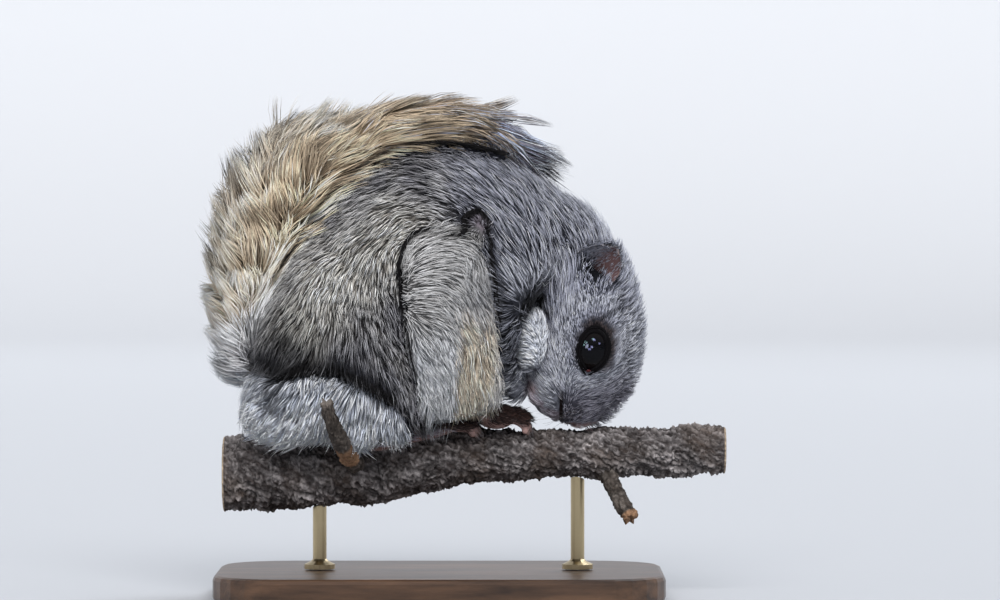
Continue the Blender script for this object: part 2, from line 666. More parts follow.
def along_spine(found):
    """How far along the spine's rows each place is, and the cosine of its way round from the crest."""
    index = found["spine"][0]
    return SAMPLES["spine"][2][index] * (len(SPINE) - 1), np.cos(SAMPLES["spine"][3][index])


skin_found, _, skin_share = placed(skin_points)
print("skin by form", dict(zip(FORM_NAMES, np.bincount(skin_share.argmax(1), minlength=5))))

# %% [markdown]
# ## The lie of the coat
# Hair leans the way the animal has grown: from the nose over the crown, left along the back and
# down the flank, down the foreleg to the wrist. Tables give that direction, in degrees up from
# the way the animal faces, at about a hundred places seen from its side. In between it is their
# mean weighted by nearness, laid flat on the skin by taking off the part along the normal.

# %% Directions by place: x, z, degrees
BODY_LIE = np.array((
    (32, 40, 75), (36, 42, 50), (40, 45, 58), (44, 50, 75), (46, 60, 92), (45, 68, 103), (42, 77, 114),
    (37, 86, 126), (30, 92.5, 144), (22, 97, 148), (14, 98, 146), (10, 103, 172), (0, 104, 181),
    (-10, 102, 196), (-18, 97, 214), (-27, 88, 230), (-34, 78, 242), (-40, 67, 252), (-42, 57, 235),
    (33, 46, 70), (29.5, 44, 92), (36, 49, 70), (30, 50, 95), (25, 44, 150), (24, 48, 125), (27, 57, 95),
    (28, 65, 92), (30, 72, 98), (35, 70, 100), (40, 58, 88), (39, 66, 104), (40, 74, 108), (33, 78, 112),
    (24, 70, 112), (26, 80, 112), (18.5, 76, 122), (23, 89, 120), (14, 80, 128), (14, 95, 134),
    (7, 92, 146), (0, 97, 165), (-6, 92, 208), (-8, 96, 212), (3, 88, 176), (10, 88, 150), (14, 67, 158),
    (16, 57, 178), (16, 49, 186), (17, 62, 165), (-14, 88, 232), (-21, 80, 246), (-26, 71, 262),
    (-33, 73, 250), (-14, 76, 263), (-10, 69, 274), (-21, 62, 268), (-33, 60, 246), (-37, 64, 238),
    (-28, 53, 246), (-37, 54, 214), (-40, 53, 205), (-19, 55, 274), (-11, 59, 290), (-9, 50, 298),
    (-5, 39, 303), (-14, 47, 292), (-47, 47, 215), (-46, 42, 215)), float)
SLEEVE_LIE = np.array((
    (-7, 76, 22), (-8, 68, 12), (-2, 79, 2), (2, 81, -30), (-5, 69, -8), (0, 71, -38), (2.8, 69, -62),
    (-7, 62, -38), (-5, 59, -50), (0, 59, -66), (-3, 48, -86), (1, 46, -88), (7, 57, -82), (9, 46, -80),
    (11.5, 62, -74), (10.5, 73, -68), (7, 80, -98), (12.8, 52, -70), (8.8, 86, -92), (3, 85, -15),
    (-3, 84, 20), (4, 42, -88), (11, 44, -60)), float)
SHANK_LIE = np.array((
    (-47, 42, 190), (-47, 47, 175), (-41, 46, 205), (-40, 41, 215), (-36, 37, 228), (-30, 46, 236),
    (-30, 39, 245), (-24, 42, 250), (-24, 48, 248), (-18, 40, 264), (-17, 46, 262), (-12, 43, 282),
    (-9, 38, 302)), float)


def laid_flat(ways, normals):
    """Ways with their part along the normals taken off."""
    return ways - normals * np.sum(ways * normals, axis=1, keepdims=True)


def lie_from(table, points):
    """Unit vectors of the table's angles, weighted by 1 / (distance^2 + 4)^2 in the side view."""
    angle = np.radians(table[:, 2])
    apart = (points[:, 0:1] - table[:, 0]) ** 2 + (points[:, 2:3] - table[:, 1]) ** 2
    weight = 1 / (apart + 4) ** 2
    flat = weight @ np.stack([np.cos(angle), np.zeros(len(angle)), np.sin(angle)], axis=1)
    return unit(flat)


def lie_at(points, normals, share):
    """The tables' directions mixed by form, laid flat on the surface."""
    body, sleeve, shank = (lie_from(t, points) for t in (BODY_LIE, SLEEVE_LIE, SHANK_LIE))
    flat = (body * (share[:, 0:1] + share[:, 1:2] + share[:, 4:5])
            + shank * share[:, 2:3] + sleeve * share[:, 3:4])
    return unit(laid_flat(flat, normals))


print("lie tables", len(BODY_LIE), len(SLEEVE_LIE), len(SHANK_LIE))

# %% [markdown]
# ## Markings shared by skin and coat
# A wild coat is banded: each hair is dark at its root, grey along its length and pale at its
# tip. So a marking is three colours, and the pattern is a set of soft patches that mix one
# triple into another. Skin and tufts ask the same function, so they always agree.

# %% Coat colours, as seen on screen: root, length, tip
COATS = {
    "flank": ((0.06, 0.06, 0.07), (0.30, 0.30, 0.33), (0.77, 0.76, 0.77)),
    "band": ((0.38, 0.36, 0.34), (0.88, 0.85, 0.80), (1.00, 1.00, 0.96)),
    "neck": ((0.08, 0.08, 0.11), (0.37, 0.38, 0.43), (0.77, 0.78, 0.83)),
    "head": ((0.22, 0.23, 0.27), (0.51, 0.52, 0.58), (0.81, 0.82, 0.89)),
    "crown": ((0.20, 0.20, 0.23), (0.50, 0.51, 0.55), (0.76, 0.77, 0.82)),
    "cheek": ((0.48, 0.49, 0.53), (0.76, 0.77, 0.82), (0.93, 0.94, 0.98)),
    "muzzle": ((0.16, 0.15, 0.18), (0.50, 0.49, 0.54), (0.82, 0.80, 0.85)),
    "lip": ((0.48, 0.43, 0.46), (0.70, 0.66, 0.70), (0.84, 0.82, 0.86)),
    "pink": ((0.50, 0.38, 0.39), (0.70, 0.56, 0.56), (0.80, 0.68, 0.68)),
    "dark": ((0.02, 0.02, 0.02), (0.06, 0.055, 0.06), (0.14, 0.13, 0.13)),
    "ring": ((0.05, 0.04, 0.04), (0.16, 0.12, 0.11), (0.30, 0.25, 0.23)),
    "white": ((0.80, 0.82, 0.87), (0.90, 0.92, 0.96), (0.96, 0.97, 1.00)),
    "beige": ((0.30, 0.30, 0.30), (0.70, 0.69, 0.68), (0.97, 0.96, 0.95)),
    "pale": ((0.68, 0.69, 0.72), (0.94, 0.95, 0.97), (0.99, 0.99, 1.00)),
    "yellow": ((0.62, 0.55, 0.47), (0.92, 0.83, 0.72), (0.99, 0.94, 0.85)),
    "under": ((0.68, 0.71, 0.78), (0.88, 0.91, 0.97), (0.97, 0.98, 1.00)),
    "cream": ((0.42, 0.36, 0.28), (0.86, 0.77, 0.65), (1.00, 0.95, 0.87)),
    "tan": ((0.54, 0.46, 0.35), (0.83, 0.71, 0.57), (0.95, 0.86, 0.73)),
    "brown": ((0.38, 0.33, 0.28), (0.56, 0.49, 0.42), (0.26, 0.22, 0.20)),
    "slate": ((0.30, 0.28, 0.30), (0.46, 0.46, 0.53), (0.26, 0.27, 0.34)),
}
COATS = {name: np.array(colours) ** 2.2 for name, colours in COATS.items()}


def between(value, low, high):
    """A smooth step from 0 at low to 1 at high."""
    t = np.clip((value - low) / (high - low), 0, 1)
    return t * t * (3 - 2 * t)


def layered(count, base, *layers):
    """A base triple for every place, with (name, weight) layers mixed over it one after another."""
    colours = np.repeat(COATS[base][None], count, axis=0)
    for name, weight in layers:
        colours = blend(colours, COATS[name], np.clip(weight, 0, 1)[:, None, None])
    return colours


def ripple(points, size, seed):
    """Smooth noise: a third of the sum of nine sine waves about size mm long, in seeded directions."""
    draw = np.random.default_rng(seed)
    waves = unit(draw.normal(size=(9, 3))) * (2 * np.pi / size) * draw.uniform(0.6, 1.6, (9, 1))
    return np.sin(points @ waves.T + draw.uniform(0, 6.28, 9)).sum(axis=1) / 3.0


HEM = np.array(((-46, 55), (-42.3, 53.7), (-36, 50.7), (-30.2, 52.6), (-23.3, 52.1), (-16.3, 49.1),
                (-9.3, 44.4), (-3.5, 36.3), (0, 30)), float)


def segment_gap(points, path):
    """Distance in the side view from points to a line of points."""
    best = np.full(len(points), 1e9)
    for (x0, z0), (x1, z1) in zip(path[:-1], path[1:]):
        step = np.array((x1 - x0, z1 - z0))
        offset = points[:, (0, 2)] - (x0, z0)
        t = np.clip(offset @ step / (step @ step), 0, 1)
        best = np.minimum(best, np.linalg.norm(offset - t[:, None] * step, axis=1))
    return best


def near_line(points, path, width):
    """1 on a line in the side view, falling off as exp(-(distance / width)^2)."""
    return np.exp(-(segment_gap(points, path) / width) ** 2)


def over_hem(points):
    """Height above the coat's hem in the side view."""
    return points[:, 2] - np.interp(points[:, 0], HEM[:, 0], HEM[:, 1])


def puff_oval(points):
    """Distance in the side view from the white cheek puff's middle, 1 at its edge."""
    return np.hypot((points[:, 0] - 21.7) / 3.3, (points[:, 2] - 61.2) / 7.6)


def body_layers(p, x, z, found, share, wave, fine):
    """Markings of back, flank, neck and head."""
    place, across = along_spine(found)
    head = between(place, 12.3, 14.0) * between(x, 19, 24)
    crown = between(across + 0.08 * wave, 0.55, 0.92) * between(place, 11.5, 13.5)
    jaw = segment_gap(p, ((28, 41.4), (24.5, 42.5), (22.0, 45.4), (20.8, 48.5)))
    oval = np.minimum(eye_oval(p, -1), 6)
    behind = 0.5 + 0.5 * np.tanh((x - 35.5 + 0.5 * (z - 57)) / 1.5)
    creases = np.maximum(near_line(p, ((27.6, 48.2), (25.2, 45.8)), 0.3),
                         near_line(p, ((27.8, 46.6), (26.2, 43.4)), 0.3))
    puff = between(puff_oval(p), 1.12, 0.95) * between(p[:, 1], -4.0, -6.5)
    notch = near_line(p, ((19.6, 66.6), (21.8, 70.0), (24.7, 66.4)), 1.3) * (p[:, 1] < -4)
    zigzag = np.sin(z * 3.4 + 1.1 * np.sin(x * 1.7) + 0.7 * fine)
    fold = patch(p, 16.0, 58, 2.8, 13) * between(zigzag, -0.1, 0.7)
    hem = over_hem(p)
    return (
        ("band", near_line(p, ((-29, 68), (-24, 74), (-18, 79), (-10, 84)), 7.5)
         + 0.35 * patch(p, -5, 90, 6, 4) + 0.12 * wave),
        ("dark", 0.8 * patch(p, -33, 60, 9, 9) + 0.3 * patch(p, -16, 56, 6, 8) + 0.2 * patch(p, 0, 98, 9, 4)),
        ("neck", between(x, -2, 12) * 0.9),
        ("cheek", patch(p, 18, 48, 4.5, 5.5) * 1.2 + patch(p, 20, 73, 5, 3) * 0.7),
        ("head", head),
        ("neck", 0.8 * head * patch(p, 28.5, 59, 4, 10)),
        ("cheek", head * (0.8 * patch(p, 35, 50.5, 7, 3.5) + 1.3 * patch(p, 24.5, 46.5, 3.8, 5)
                          + 1.0 * patch(p, 42.5, 58, 3, 9) + 0.8 * patch(p, 28.5, 77, 1.8, 7))),
        ("crown", crown * 0.5),
        ("muzzle", 0.85 * between(x + 0.4 * fine, 27.9, 28.9)
         * between(z + 0.9 * fine - 0.25 * (x - 30), 51.0, 43.5)),
        ("lip", between(jaw + 0.4 * fine, 2.6, 0.8) * between(x, 28.2, 27.4) * between(x, 19, 21)),
        ("cheek", np.exp(-((oval - 2.1) / 0.4) ** 2) * 0.8 * head),
        ("ring", between(oval + 0.08 * fine, 1.35 + 0.4 * behind, 1.12) * (0.55 + 0.4 * behind)),
        ("dark", 0.8 * near_line(p, ((37.5, 64.6), (41.5, 66.2)), 0.5)),
        ("dark", 0.6 * creases * head),
        ("pink", 0.8 * patch(p, 22.6, 47.2, 1.4, 1.3) * head),
        ("pink", between(z, 40.7, 40.2) * between(x, 28.2, 28.8) * between(x, 36, 34.5)),
        ("lip", patch(p, 9.4, 85.6, 1.7, 2.6) * 0.8),
        ("white", puff * (share[:, SPINE_FORM] > 0.5)),
        ("dark", 1.2 * notch),
        ("dark", 0.85 * fold * (1 - puff)),
        ("dark", share[:, HAUNCH_FORM] * between(hem + 0.5 * fine, 3.0, 0.8) * 0.9 * between(x, -44, -40)),
        ("dark", 0.8 * patch(p, -36, 48.5, 3.2, 3.0)),
        ("white", between(hem, 0.2, -0.8) * between(x, -6, -9) * (1 - 0.8 * patch(p, -36, 48.5, 3, 3))),
    )


def markings(points, found, share):
    """Root, length and tip colour for each place, by form: (places, 3, 3)."""
    p, count = folded(points), len(points)
    x, z = p[:, 0], p[:, 2]
    wave, fine = ripple(points, 9.0, 3), ripple(points, 3.2, 4)
    body = layered(count, "flank", *body_layers(p, x, z, found, share, wave, fine))
    under = layered(count, "under", (
        "dark", 0.75 * patch(p, -36, 48.0, 3.0, 3.0) + 0.5 * between(x, -12, -9) * between(z, 37, 39)))
    sleeve = layered(
        count, "beige",
        ("pale", between(z + wave, 66, 56) * between(x, 5.5, 2.5)),
        ("yellow", between(x + 0.5 * fine, 2.6, 4.4) * between(x, 13.5, 10.5)
         * between(z + 2 * wave, 72, 63)),
        ("beige", between(x, 10.0, 12.5) * 0.6),
        ("neck", 0.35 * patch(p, 8.5, 72, 4, 6)),
        ("dark", between(z + fine, 82.5, 85.5) * 0.55))
    by_form = (body, body, under, sleeve, layered(count, "cream"))
    return sum(share[:, k, None, None] * colours for k, colours in enumerate(by_form))


# Black creases in the side view: their line, and half their width. Tail and back, the sleeve's top
# and left side, round the elbow and down the sleeve's right side, the coat's hem, the mouth and
# the notch over the white cheek puff.
DARK_LINES = (
    (((-38, 74.5), (-34, 80.1), (-30, 85.3), (-25.9, 92.6), (-21.9, 96.3), (-17.9, 99.5), (-13.8, 102.3),
      (-9.8, 104), (-5.8, 105.1), (4, 105.3), (15, 102.5)), 0.75),
    (((-5.1, 51.4), (-7, 59.5), (-8.6, 68.8), (-9.1, 77), (-8, 81.6), (-5.8, 84.2), (-2.3, 85.6),
      (1.2, 84.7), (4, 83.3), (6, 84.9)), 0.62),
    (((6, 84.9), (5.9, 87.8), (8.9, 89.6), (11.4, 87.8), (11.4, 83.5), (12.2, 78.1), (13.4, 68.8),
      (14.0, 64.5)), 0.85),
    (((-42, 54.4), (-36, 51.4), (-30.2, 53.3), (-23.3, 52.8), (-16.3, 49.8), (-10.5, 46.0)), 1.25),
    (((28.1, 40.5), (28.1, 48.3)), 0.42),
    (((20.0, 65.6), (21.2, 69.0), (22.3, 70.2), (23.6, 68.6), (25.3, 65.2)), 0.60),
)


def on_lines(points):
    """1 in the middle of a black crease, falling off to 0 at its edge and cut off past it."""
    p = folded(points)
    return np.max([np.exp(-((segment_gap(p, line) / half) ** 4)) for line, half in DARK_LINES], axis=0)


def inked(colours, places):
    """Darkens each tuft's root, middle or tip where that point lies on a black crease."""
    for k, at in enumerate(places):
        colours[:, k] = blend(colours[:, k], COATS["dark"][k], on_lines(at)[:, None])
    return colours


skin_coat = markings(skin_points, skin_found, skin_share)
print("markings", skin_coat.shape)

# %% [markdown]
# ## Painted finishes
# The colour of every tuft is painted on its points, from dark root to pale tip. The finish adds a
# fine streak of light and shade, a soft sheen, and a shading normal close to the skin's own,
# since a thicket of hair looks softer than hard little blades would. Bark, bare skin, horn and
# the eye are painted the same way, each with its own grain and gloss.

# %% Material helpers
def new_material(name, roughness=0.6, **sockets):
    """A node material; sockets are set straight on the shader's own inputs by their names."""
    made = bpy.data.materials.new(name)
    made.use_nodes = True
    nodes = made.node_tree.nodes
    shader = nodes["Principled BSDF"]
    shader.inputs["Roughness"].default_value = roughness
    for socket, value in sockets.items():
        shader.inputs[socket.replace("_", " ")].default_value = value
    return made, nodes, made.node_tree.links, shader


def node(nodes, kind, **values):
    """A new node; values go to its inputs of that name, or else to its settings."""
    made = nodes.new(kind)
    for key, value in values.items():
        if key in made.inputs:
            made.inputs[key].default_value = value
        else:
            setattr(made, key, value)
    return made


def wired(links, *wires):
    """Links a node's output to another's input for each wire: node, output, node, input."""
    for source, output, target, entry in wires:
        links.new(source.outputs[output], target.inputs[entry])


GRAIN = ("Patch size", "Fleck size", "Strength")


def strand_group():
    """Shared effect on Object coordinates: colour * (1 + strength * (broad noise + flecks - 1))."""
    group = bpy.data.node_groups.new("strand_variation", "ShaderNodeTree")
    for in_out, labels in (("INPUT", ("Colour", *GRAIN)), ("OUTPUT", ("Colour", "Height"))):
        for label in labels:
            kind = "NodeSocketColor" if label == "Colour" else "NodeSocketFloat"
            group.interface.new_socket(label, in_out=in_out, socket_type=kind)
    nodes = group.nodes
    start, end = nodes.new("NodeGroupInput"), nodes.new("NodeGroupOutput")
    place = nodes.new("ShaderNodeTexCoord")
    broad, flecks = (node(nodes, "ShaderNodeTexNoise", Detail=2.0) for _ in range(2))
    total, centred, scaled = (node(nodes, "ShaderNodeMath", operation=sort)
                              for sort in ("ADD", "SUBTRACT", "MULTIPLY_ADD"))
    centred.inputs[1].default_value = scaled.inputs[2].default_value = 1.0
    tinted = node(nodes, "ShaderNodeVectorMath", operation="SCALE")
    wired(group.links, (place, "Object", broad, "Vector"), (place, "Object", flecks, "Vector"),
          (start, "Patch size", broad, "Scale"), (start, "Fleck size", flecks, "Scale"),
          (broad, "Fac", total, 0), (flecks, "Fac", total, 1), (total, 0, centred, 0),
          (centred, 0, scaled, 0), (start, "Strength", scaled, 1), (start, "Colour", tinted, 0),
          (scaled, 0, tinted, "Scale"), (tinted, 0, end, "Colour"), (flecks, "Fac", end, "Height"))
    return group


STRANDS = strand_group()


def painted_material(name, roughness, grain=None, bump=None, **sockets):
    """The points' colour, varied by grain, and the same flecks raised by bump, strength and distance."""
    made, nodes, links, shader = new_material(name, roughness, **sockets)
    colour, output = node(nodes, "ShaderNodeAttribute", attribute_name="coat_colour"), "Color"
    if grain:
        varied = node(nodes, "ShaderNodeGroup", node_tree=STRANDS, **dict(zip(GRAIN, grain)))
        wired(links, (colour, output, varied, "Colour"))
        colour, output = varied, "Colour"
    wired(links, (colour, output, shader, "Base Color"))
    if bump:
        raised = node(nodes, "ShaderNodeBump", Strength=bump[0], Distance=bump[1])
        wired(links, (varied, "Height", raised, "Height"), (raised, "Normal", shader, "Normal"))
    return made


SOFT = {"Specular_IOR_Level": 0.25, "Sheen_Weight": 0.06, "Sheen_Roughness": 0.5}
COAT_FUR = painted_material("coat_fur", 0.62, (300, 1800, 0.35), **SOFT)
SKIN_FUR = painted_material("skin_under_fur", 0.8, (300, 1800, 0.6), (0.6, 0.0003), **SOFT)
fur_tree = COAT_FUR.node_tree
coat_lie = node(fur_tree.nodes, "ShaderNodeAttribute", attribute_name="coat_normal")
wired(fur_tree.links, (coat_lie, "Vector", fur_tree.nodes["Principled BSDF"], "Normal"))
PINE_BARK = painted_material("pine_bark", 0.88, (160, 1300, 1.6), (0.8, 0.0006), Specular_IOR_Level=0.2)
PEBBLED = ((500, 2600, 0.35), (0.35, 0.0002))
BARE_SKIN = painted_material("bare_skin", 0.42, *PEBBLED, Specular_IOR_Level=0.5)
LID_SKIN = painted_material("lid_skin", 0.50, *PEBBLED, Specular_IOR_Level=0.06)
EYE_WET = painted_material("eye_wet", 0.05, Specular_IOR_Level=0.12)
CLAW_HORN = painted_material("claw_horn", 0.28, Specular_IOR_Level=0.5)
WHISKER = painted_material("whisker_hair", 0.45)
print("materials", len(bpy.data.materials))

# %% Paint the skin
bare_lip = ((skin_z < 40.8) & (skin_x > 28.4))[:, None]
skin_coat = skin_coat * (1 - 0.85 * np.clip(in_ear * 2, 0, 1))[:, None, None]
painted(skin, np.where(bare_lip, skin_coat[:, 1], skin_coat[:, 0] * 0.6 + skin_coat[:, 1] * 0.25))
finished(skin, SKIN_FUR, "fur_grey", "torso", "neck", "head", "haunch_left", "haunch_right",
         "shank_left", "shank_right", "foreleg_left", "foreleg_right", "tail_base", "tail_middle", "tail_tip")

# %% [markdown]
# ## Growing the coat
# A tuft is a thin three-sided blade: a root sunk in the skin, one or two rings, and a point. Its
# path runs along the lie and is lifted off the nearest form by a set height, so it hugs round
# limbs instead of leaving them like a thorn. Neighbours are drawn together towards shared tips,
# as real fur breaks into locks. All draws for the coat come from one seeded generator.

# %% Roots on the skin
draw = np.random.default_rng(SEED)


def roots_on(points, normals, quads, uv, density, *others):
    """Places scattered on quads, area times density each, with normal, map place and other values.

    Quads are halved into triangles, and a place has weights 1 - u - v, u and v of its corners.
    """
    corners = np.vstack([quads[:, [0, 1, 2]], quads[:, [0, 2, 3]]])
    maps = np.concatenate([uv[:, [0, 1, 2]], uv[:, [0, 2, 3]]])
    a, b, c = (points[corners[:, k]] for k in range(3))
    wanted = np.linalg.norm(np.cross(b - a, c - a), axis=1) / 2 * density[corners].mean(axis=1)
    total = np.cumsum(wanted)
    count = int(total[-1])
    face = np.searchsorted(total, draw.uniform(0, total[-1], count))
    face = np.minimum(face, len(corners) - 1)
    u, v = draw.uniform(size=(2, count))
    flip = u + v > 1
    u[flip], v[flip] = 1 - u[flip], 1 - v[flip]
    weight = np.column_stack([1 - u - v, u, v])
    carried = [np.einsum("nk,nk...->n...", weight, values[corners[face]])
               for values in (points, normals, *others)]
    return carried[0], unit(carried[1]), np.einsum("nk,nkj->nj", weight, maps[face]), *carried[2:]


def eye_distance(points):
    """Distance from the nearer eye's middle, counted in sizes of its opening."""
    return np.minimum(eye_oval(points, -1), eye_oval(points, 1))


form_of = skin_share.argmax(axis=1)
on_head = between(along_spine(skin_found)[0], 12.0, 14.5) * (form_of == SPINE_FORM)
density = blend(np.array((4.5, 4.6, 5.0, 6.2, 4.4))[form_of], 10.5, on_head)
density[(form_of == SPINE_FORM) & (skin_normals[:, 2] < -0.3) & (skin_z < 50) & (skin_x < 20)] = 1.2
in_mouth = (np.abs(skin_x - MOUTH_X) < 0.55) & (skin_z < 48.6)
on_nose = (skin_z < 40.6) & (skin_x > 28.4) & (np.abs(skin_y) < 2)
density[(eye_distance(skin_points) < 1.08) | (in_ear > 0.5) | in_mouth | on_nose] = 0
density[(form_of == TAIL_FORM) & (skin_x < -44) & (skin_z < 49)] *= 0.4
base_run = SAMPLES["tail"][2][skin_found["tail"][0]] * (core_along[-1] - core_along[0]) + core_along[0]
density *= 1 + 0.7 * between(base_run, 45, 20) * (form_of == TAIL_FORM)
root, root_normal, root_map = roots_on(skin_points, skin_normals, skin_quads, skin_map, density)
found, distance, share = placed(root)
root_form = share.argmax(axis=1)
print("roots", len(root), dict(zip(FORM_NAMES, np.bincount(root_form, minlength=5))))


# %% Body tufts: paths that follow the forms
# Spine, haunch, shank and sleeve: length, width and height of the tufts, and how loose they lie.
COAT_BY_FORM = np.array(((7.4, 0.29, 2.4, 0.2), (7.6, 0.29, 2.3, 0.2), (9.5, 0.36, 3.0, 0.45),
                         (6.0, 0.26, 1.9, 0.12)))


def lifted(points, height):
    """Points moved to a height over the nearest form, along that sample's own normal."""
    right = folded(points)
    side = np.where(points[:, 1] < 0, 1.0, -1.0)
    best = np.full(len(points), 1e9)
    rise, away_from = np.zeros(len(points)), np.zeros((len(points), 3))
    for name in FORM_NAMES[:4]:
        index, level, gap = over_form(right, name)
        closer = gap < best
        best[closer] = gap[closer]
        rise[closer] = level[closer]
        away_from[closer] = SAMPLES[name][1][index][closer]
    away_from[:, 1] *= side
    return points + away_from * (height - np.clip(rise, -3, 6))[:, None], away_from


def capped(values, where, limit):
    """Values held down to a limit in some places."""
    return np.where(where, np.minimum(values, limit), values)


on_body = root_form < TAIL_FORM
tail_uv = root_map[~on_body]
root_map = root_map[on_body]
body_root, body_normal = root[on_body], root_normal[on_body]
body_share, body_distance, body_form = share[on_body], distance[on_body], root_form[on_body]
body_found = {name: tuple(a[on_body] for a in values) for name, values in found.items()}
right, count = folded(body_root), len(body_root)
right_x, right_z = right[:, 0], right[:, 2]
on_spine, on_shank, on_trunk = body_form == SPINE_FORM, body_form == SHANK_FORM, body_form <= HAUNCH_FORM
place, across = along_spine(body_found)
head = between(place, 12.0, 14.5) * on_spine
face = between(place, 14.5, 18.5) * on_spine
crest = between(across, 0.5, 0.9) * on_spine
eye_near = eye_distance(body_root)
cheek = (puff_oval(right) < 1) & (right[:, 1] < -5)

# The lie: wavy on the folded neck, hanging under the hem, swept forwards on the lower face.
lie = lie_at(body_root, body_normal, body_share)
fold = (patch(right, 16.5, 59, 3.8, 12) * on_spine * (right[:, 1] < -5))[:, None]
wavy = np.column_stack([np.full(count, -1.0), np.zeros(count), 0.5 * np.sin(right_x * 1.7)])
lie = blend(lie, wavy, fold)
hem_height = over_hem(right)
below_hem = (body_form == HAUNCH_FORM) & (hem_height < 0.2) & (right_x < -7)
lie[below_hem] = (-0.3, 0.0, -1.0)
forward = 0.75 * between(right_z, 58, 50) * between(right_x, 29, 32) + 0.55 * between(right_x, 35, 41)
lie = blend(lie, (1.0, 0.0, 0.2), np.clip(forward * (head > 0.5), 0, 0.85)[:, None])
lie = unit(laid_flat(lie, body_normal))

# Length, width and height over the form, and the places where the coat has to stay short.
form_length, form_width, form_height, form_loose = COAT_BY_FORM[body_form].T
length = blend(form_length, 4.0 - 1.3 * face + 0.6 * crest, head)
width = blend(form_width, 0.21 - 0.03 * face, head)
height = blend(form_height, 1.1 - 0.4 * face + 0.4 * crest, head)
length = capped(length, eye_near < 2.2, 1.1 + 0.9 * (eye_near - 1))
near_hem = on_trunk & (right_x > -46) & (right_x < -4) & (right_z < 66) & (right_z > 33)
to_hem = np.maximum(hem_height / np.maximum(-lie[:, 2], 0.25) + 0.3, 1.4)
length = capped(length, near_hem & (hem_height > 0), to_hem)
by_sleeve = body_distance[:, SLEEVE_FORM]
length = capped(length, on_trunk & (by_sleeve < 9) & (head < 0.5), 1.5 + 0.65 * by_sleeve)
elbow = np.hypot((right_x - 8.9) / 3.4, (right_z - 85.6) / 4.2) < 1
length[elbow] = 1.6
by_crease = segment_gap(right, DARK_LINES[0][0])
length = capped(length, on_trunk & (head < 0.5) & (right_x < 18), 1.0 + 0.9 * by_crease)
length[below_hem], height[below_hem] = 8.5, 3.2
length[on_shank & (right_z < 39)] = 12.0
length[cheek], width[cheek], height[cheek] = 2.8, 0.24, 1.3
ear_gap = np.linalg.norm(right - (37.0, -14.5, 74.5), axis=1)
length = capped(length, (head > 0.5) & (ear_gap < 6.5), 1.3)
guard = draw.uniform(size=count) < 0.14 + 0.12 * (head * crest > 0.4)
guard &= ((face < 0.3) | (crest > 0.4)) & (eye_near > 2.2) & ~cheek & ~elbow
mouth_gap = np.where((right_z < 48.8) & (np.abs(right[:, 1]) < 9), np.abs(right_x - MOUTH_X), 9)
length = np.minimum(length, 0.5 + 0.6 * mouth_gap)

# No two tufts are alike, guard hairs stand higher, and some on the forehead make a fringe.
length *= draw.uniform(0.7, 1.2, count)
width *= draw.uniform(0.55, 1.25, count)
height *= draw.uniform(0.35, 1.15, count)
height = np.where(eye_near < 1.6, height * 0.5, height)
width[guard] *= 0.65
height[guard] = height[guard] * 1.4 + 0.5
fringe = guard & (head * crest > 0.65)
length[fringe], width[fringe] = 2.4 - 1.0 * face[fringe], 0.26
height[fringe] = draw.uniform(1.8, 3.9, np.sum(fringe)) * (1 - 0.2 * face[fringe])
side_way = np.cross(body_normal, lie)
lie = unit(lie + side_way * (draw.normal(0, 0.13, count) + 0.16 * ripple(body_root, 6.0, 8))[:, None])

# The paths hug the forms, and are loose where the skin stands proud of them.
closest = np.argmin(body_distance[:, :4], axis=1)
proud = np.stack([body_found[name][1] for name in FORM_NAMES[:4]], axis=1)[np.arange(count), closest]
proud = np.clip(proud, 0, 4.5)
half_way, half_normal = lifted(body_root + lie * (length * 0.5)[:, None], height * 0.72 + proud)
tip, tip_normal = lifted(body_root + lie * length[:, None], height + proud * 0.85)
loose = np.maximum(between(proud, 0.7, 1.3), np.where(guard, 0.6, form_loose))
loose = np.maximum(loose, np.where(fringe, 1.0, 0.45 * head * crest))[:, None]
hanging = below_hem | on_shank
length = capped(length, proud > 1.0, np.where(hanging, 6.5, 3.0))
straight = [body_root + lie * (length * t)[:, None] + body_normal * (height * h)[:, None]
            for t, h in ((0.5, 0.72), (1.0, 1.0))]
half_way, tip = blend(half_way, straight[0], loose), blend(tip, straight[1], loose)
print("body tufts", count)


# %% Locks: neighbours drawn together
def locks_of(root, size, seed):
    """Sorts roots into wavy cells about size mm wide and numbers the cells."""
    wavy = np.column_stack([ripple(root, 5.0, seed + k) for k in range(3)]) * 0.45
    cell = np.floor(root / size[:, None] + wavy).astype(np.int64)
    key = (cell[:, 0] * 4001 + cell[:, 1]) * 4001 + cell[:, 2]
    return np.unique(key, return_inverse=True)[1].ravel()


def drawn_together(lock, paths, strength):
    """Pulls each path to its lock's mean by strength times the 1.5th power of the way to the tip."""
    members = np.maximum(np.bincount(lock), 1)
    out = []
    for t, path in paths:
        mean = np.column_stack([np.bincount(lock, path[:, k]) / members for k in range(3)])[lock]
        out.append(path + (mean - path) * (strength * t**1.5)[:, None])
    return out


tip[on_shank] += draw.normal(0, 0.6, (np.sum(on_shank), 3)) + (-0.3, 0, -0.5)
lock_size = np.where(head > 0.5, 0.8, np.where(on_shank, 2.0, 1.2))
strength = np.where(on_shank, 0.6, 0.4) * draw.uniform(0.3, 1.3, count)
strength[fringe] = 0.8
lock = locks_of(body_root, lock_size, 21) * 2 + fringe
half_way, tip = drawn_together(lock, ((0.5, half_way), (1.0, tip)), strength)


# %% Paint each tuft
def sideways(points, up):
    """The way out to each place's own side of the animal, and a little up."""
    return np.column_stack([np.zeros(len(points)), np.sign(points[:, 1]), np.full(len(points), up)])


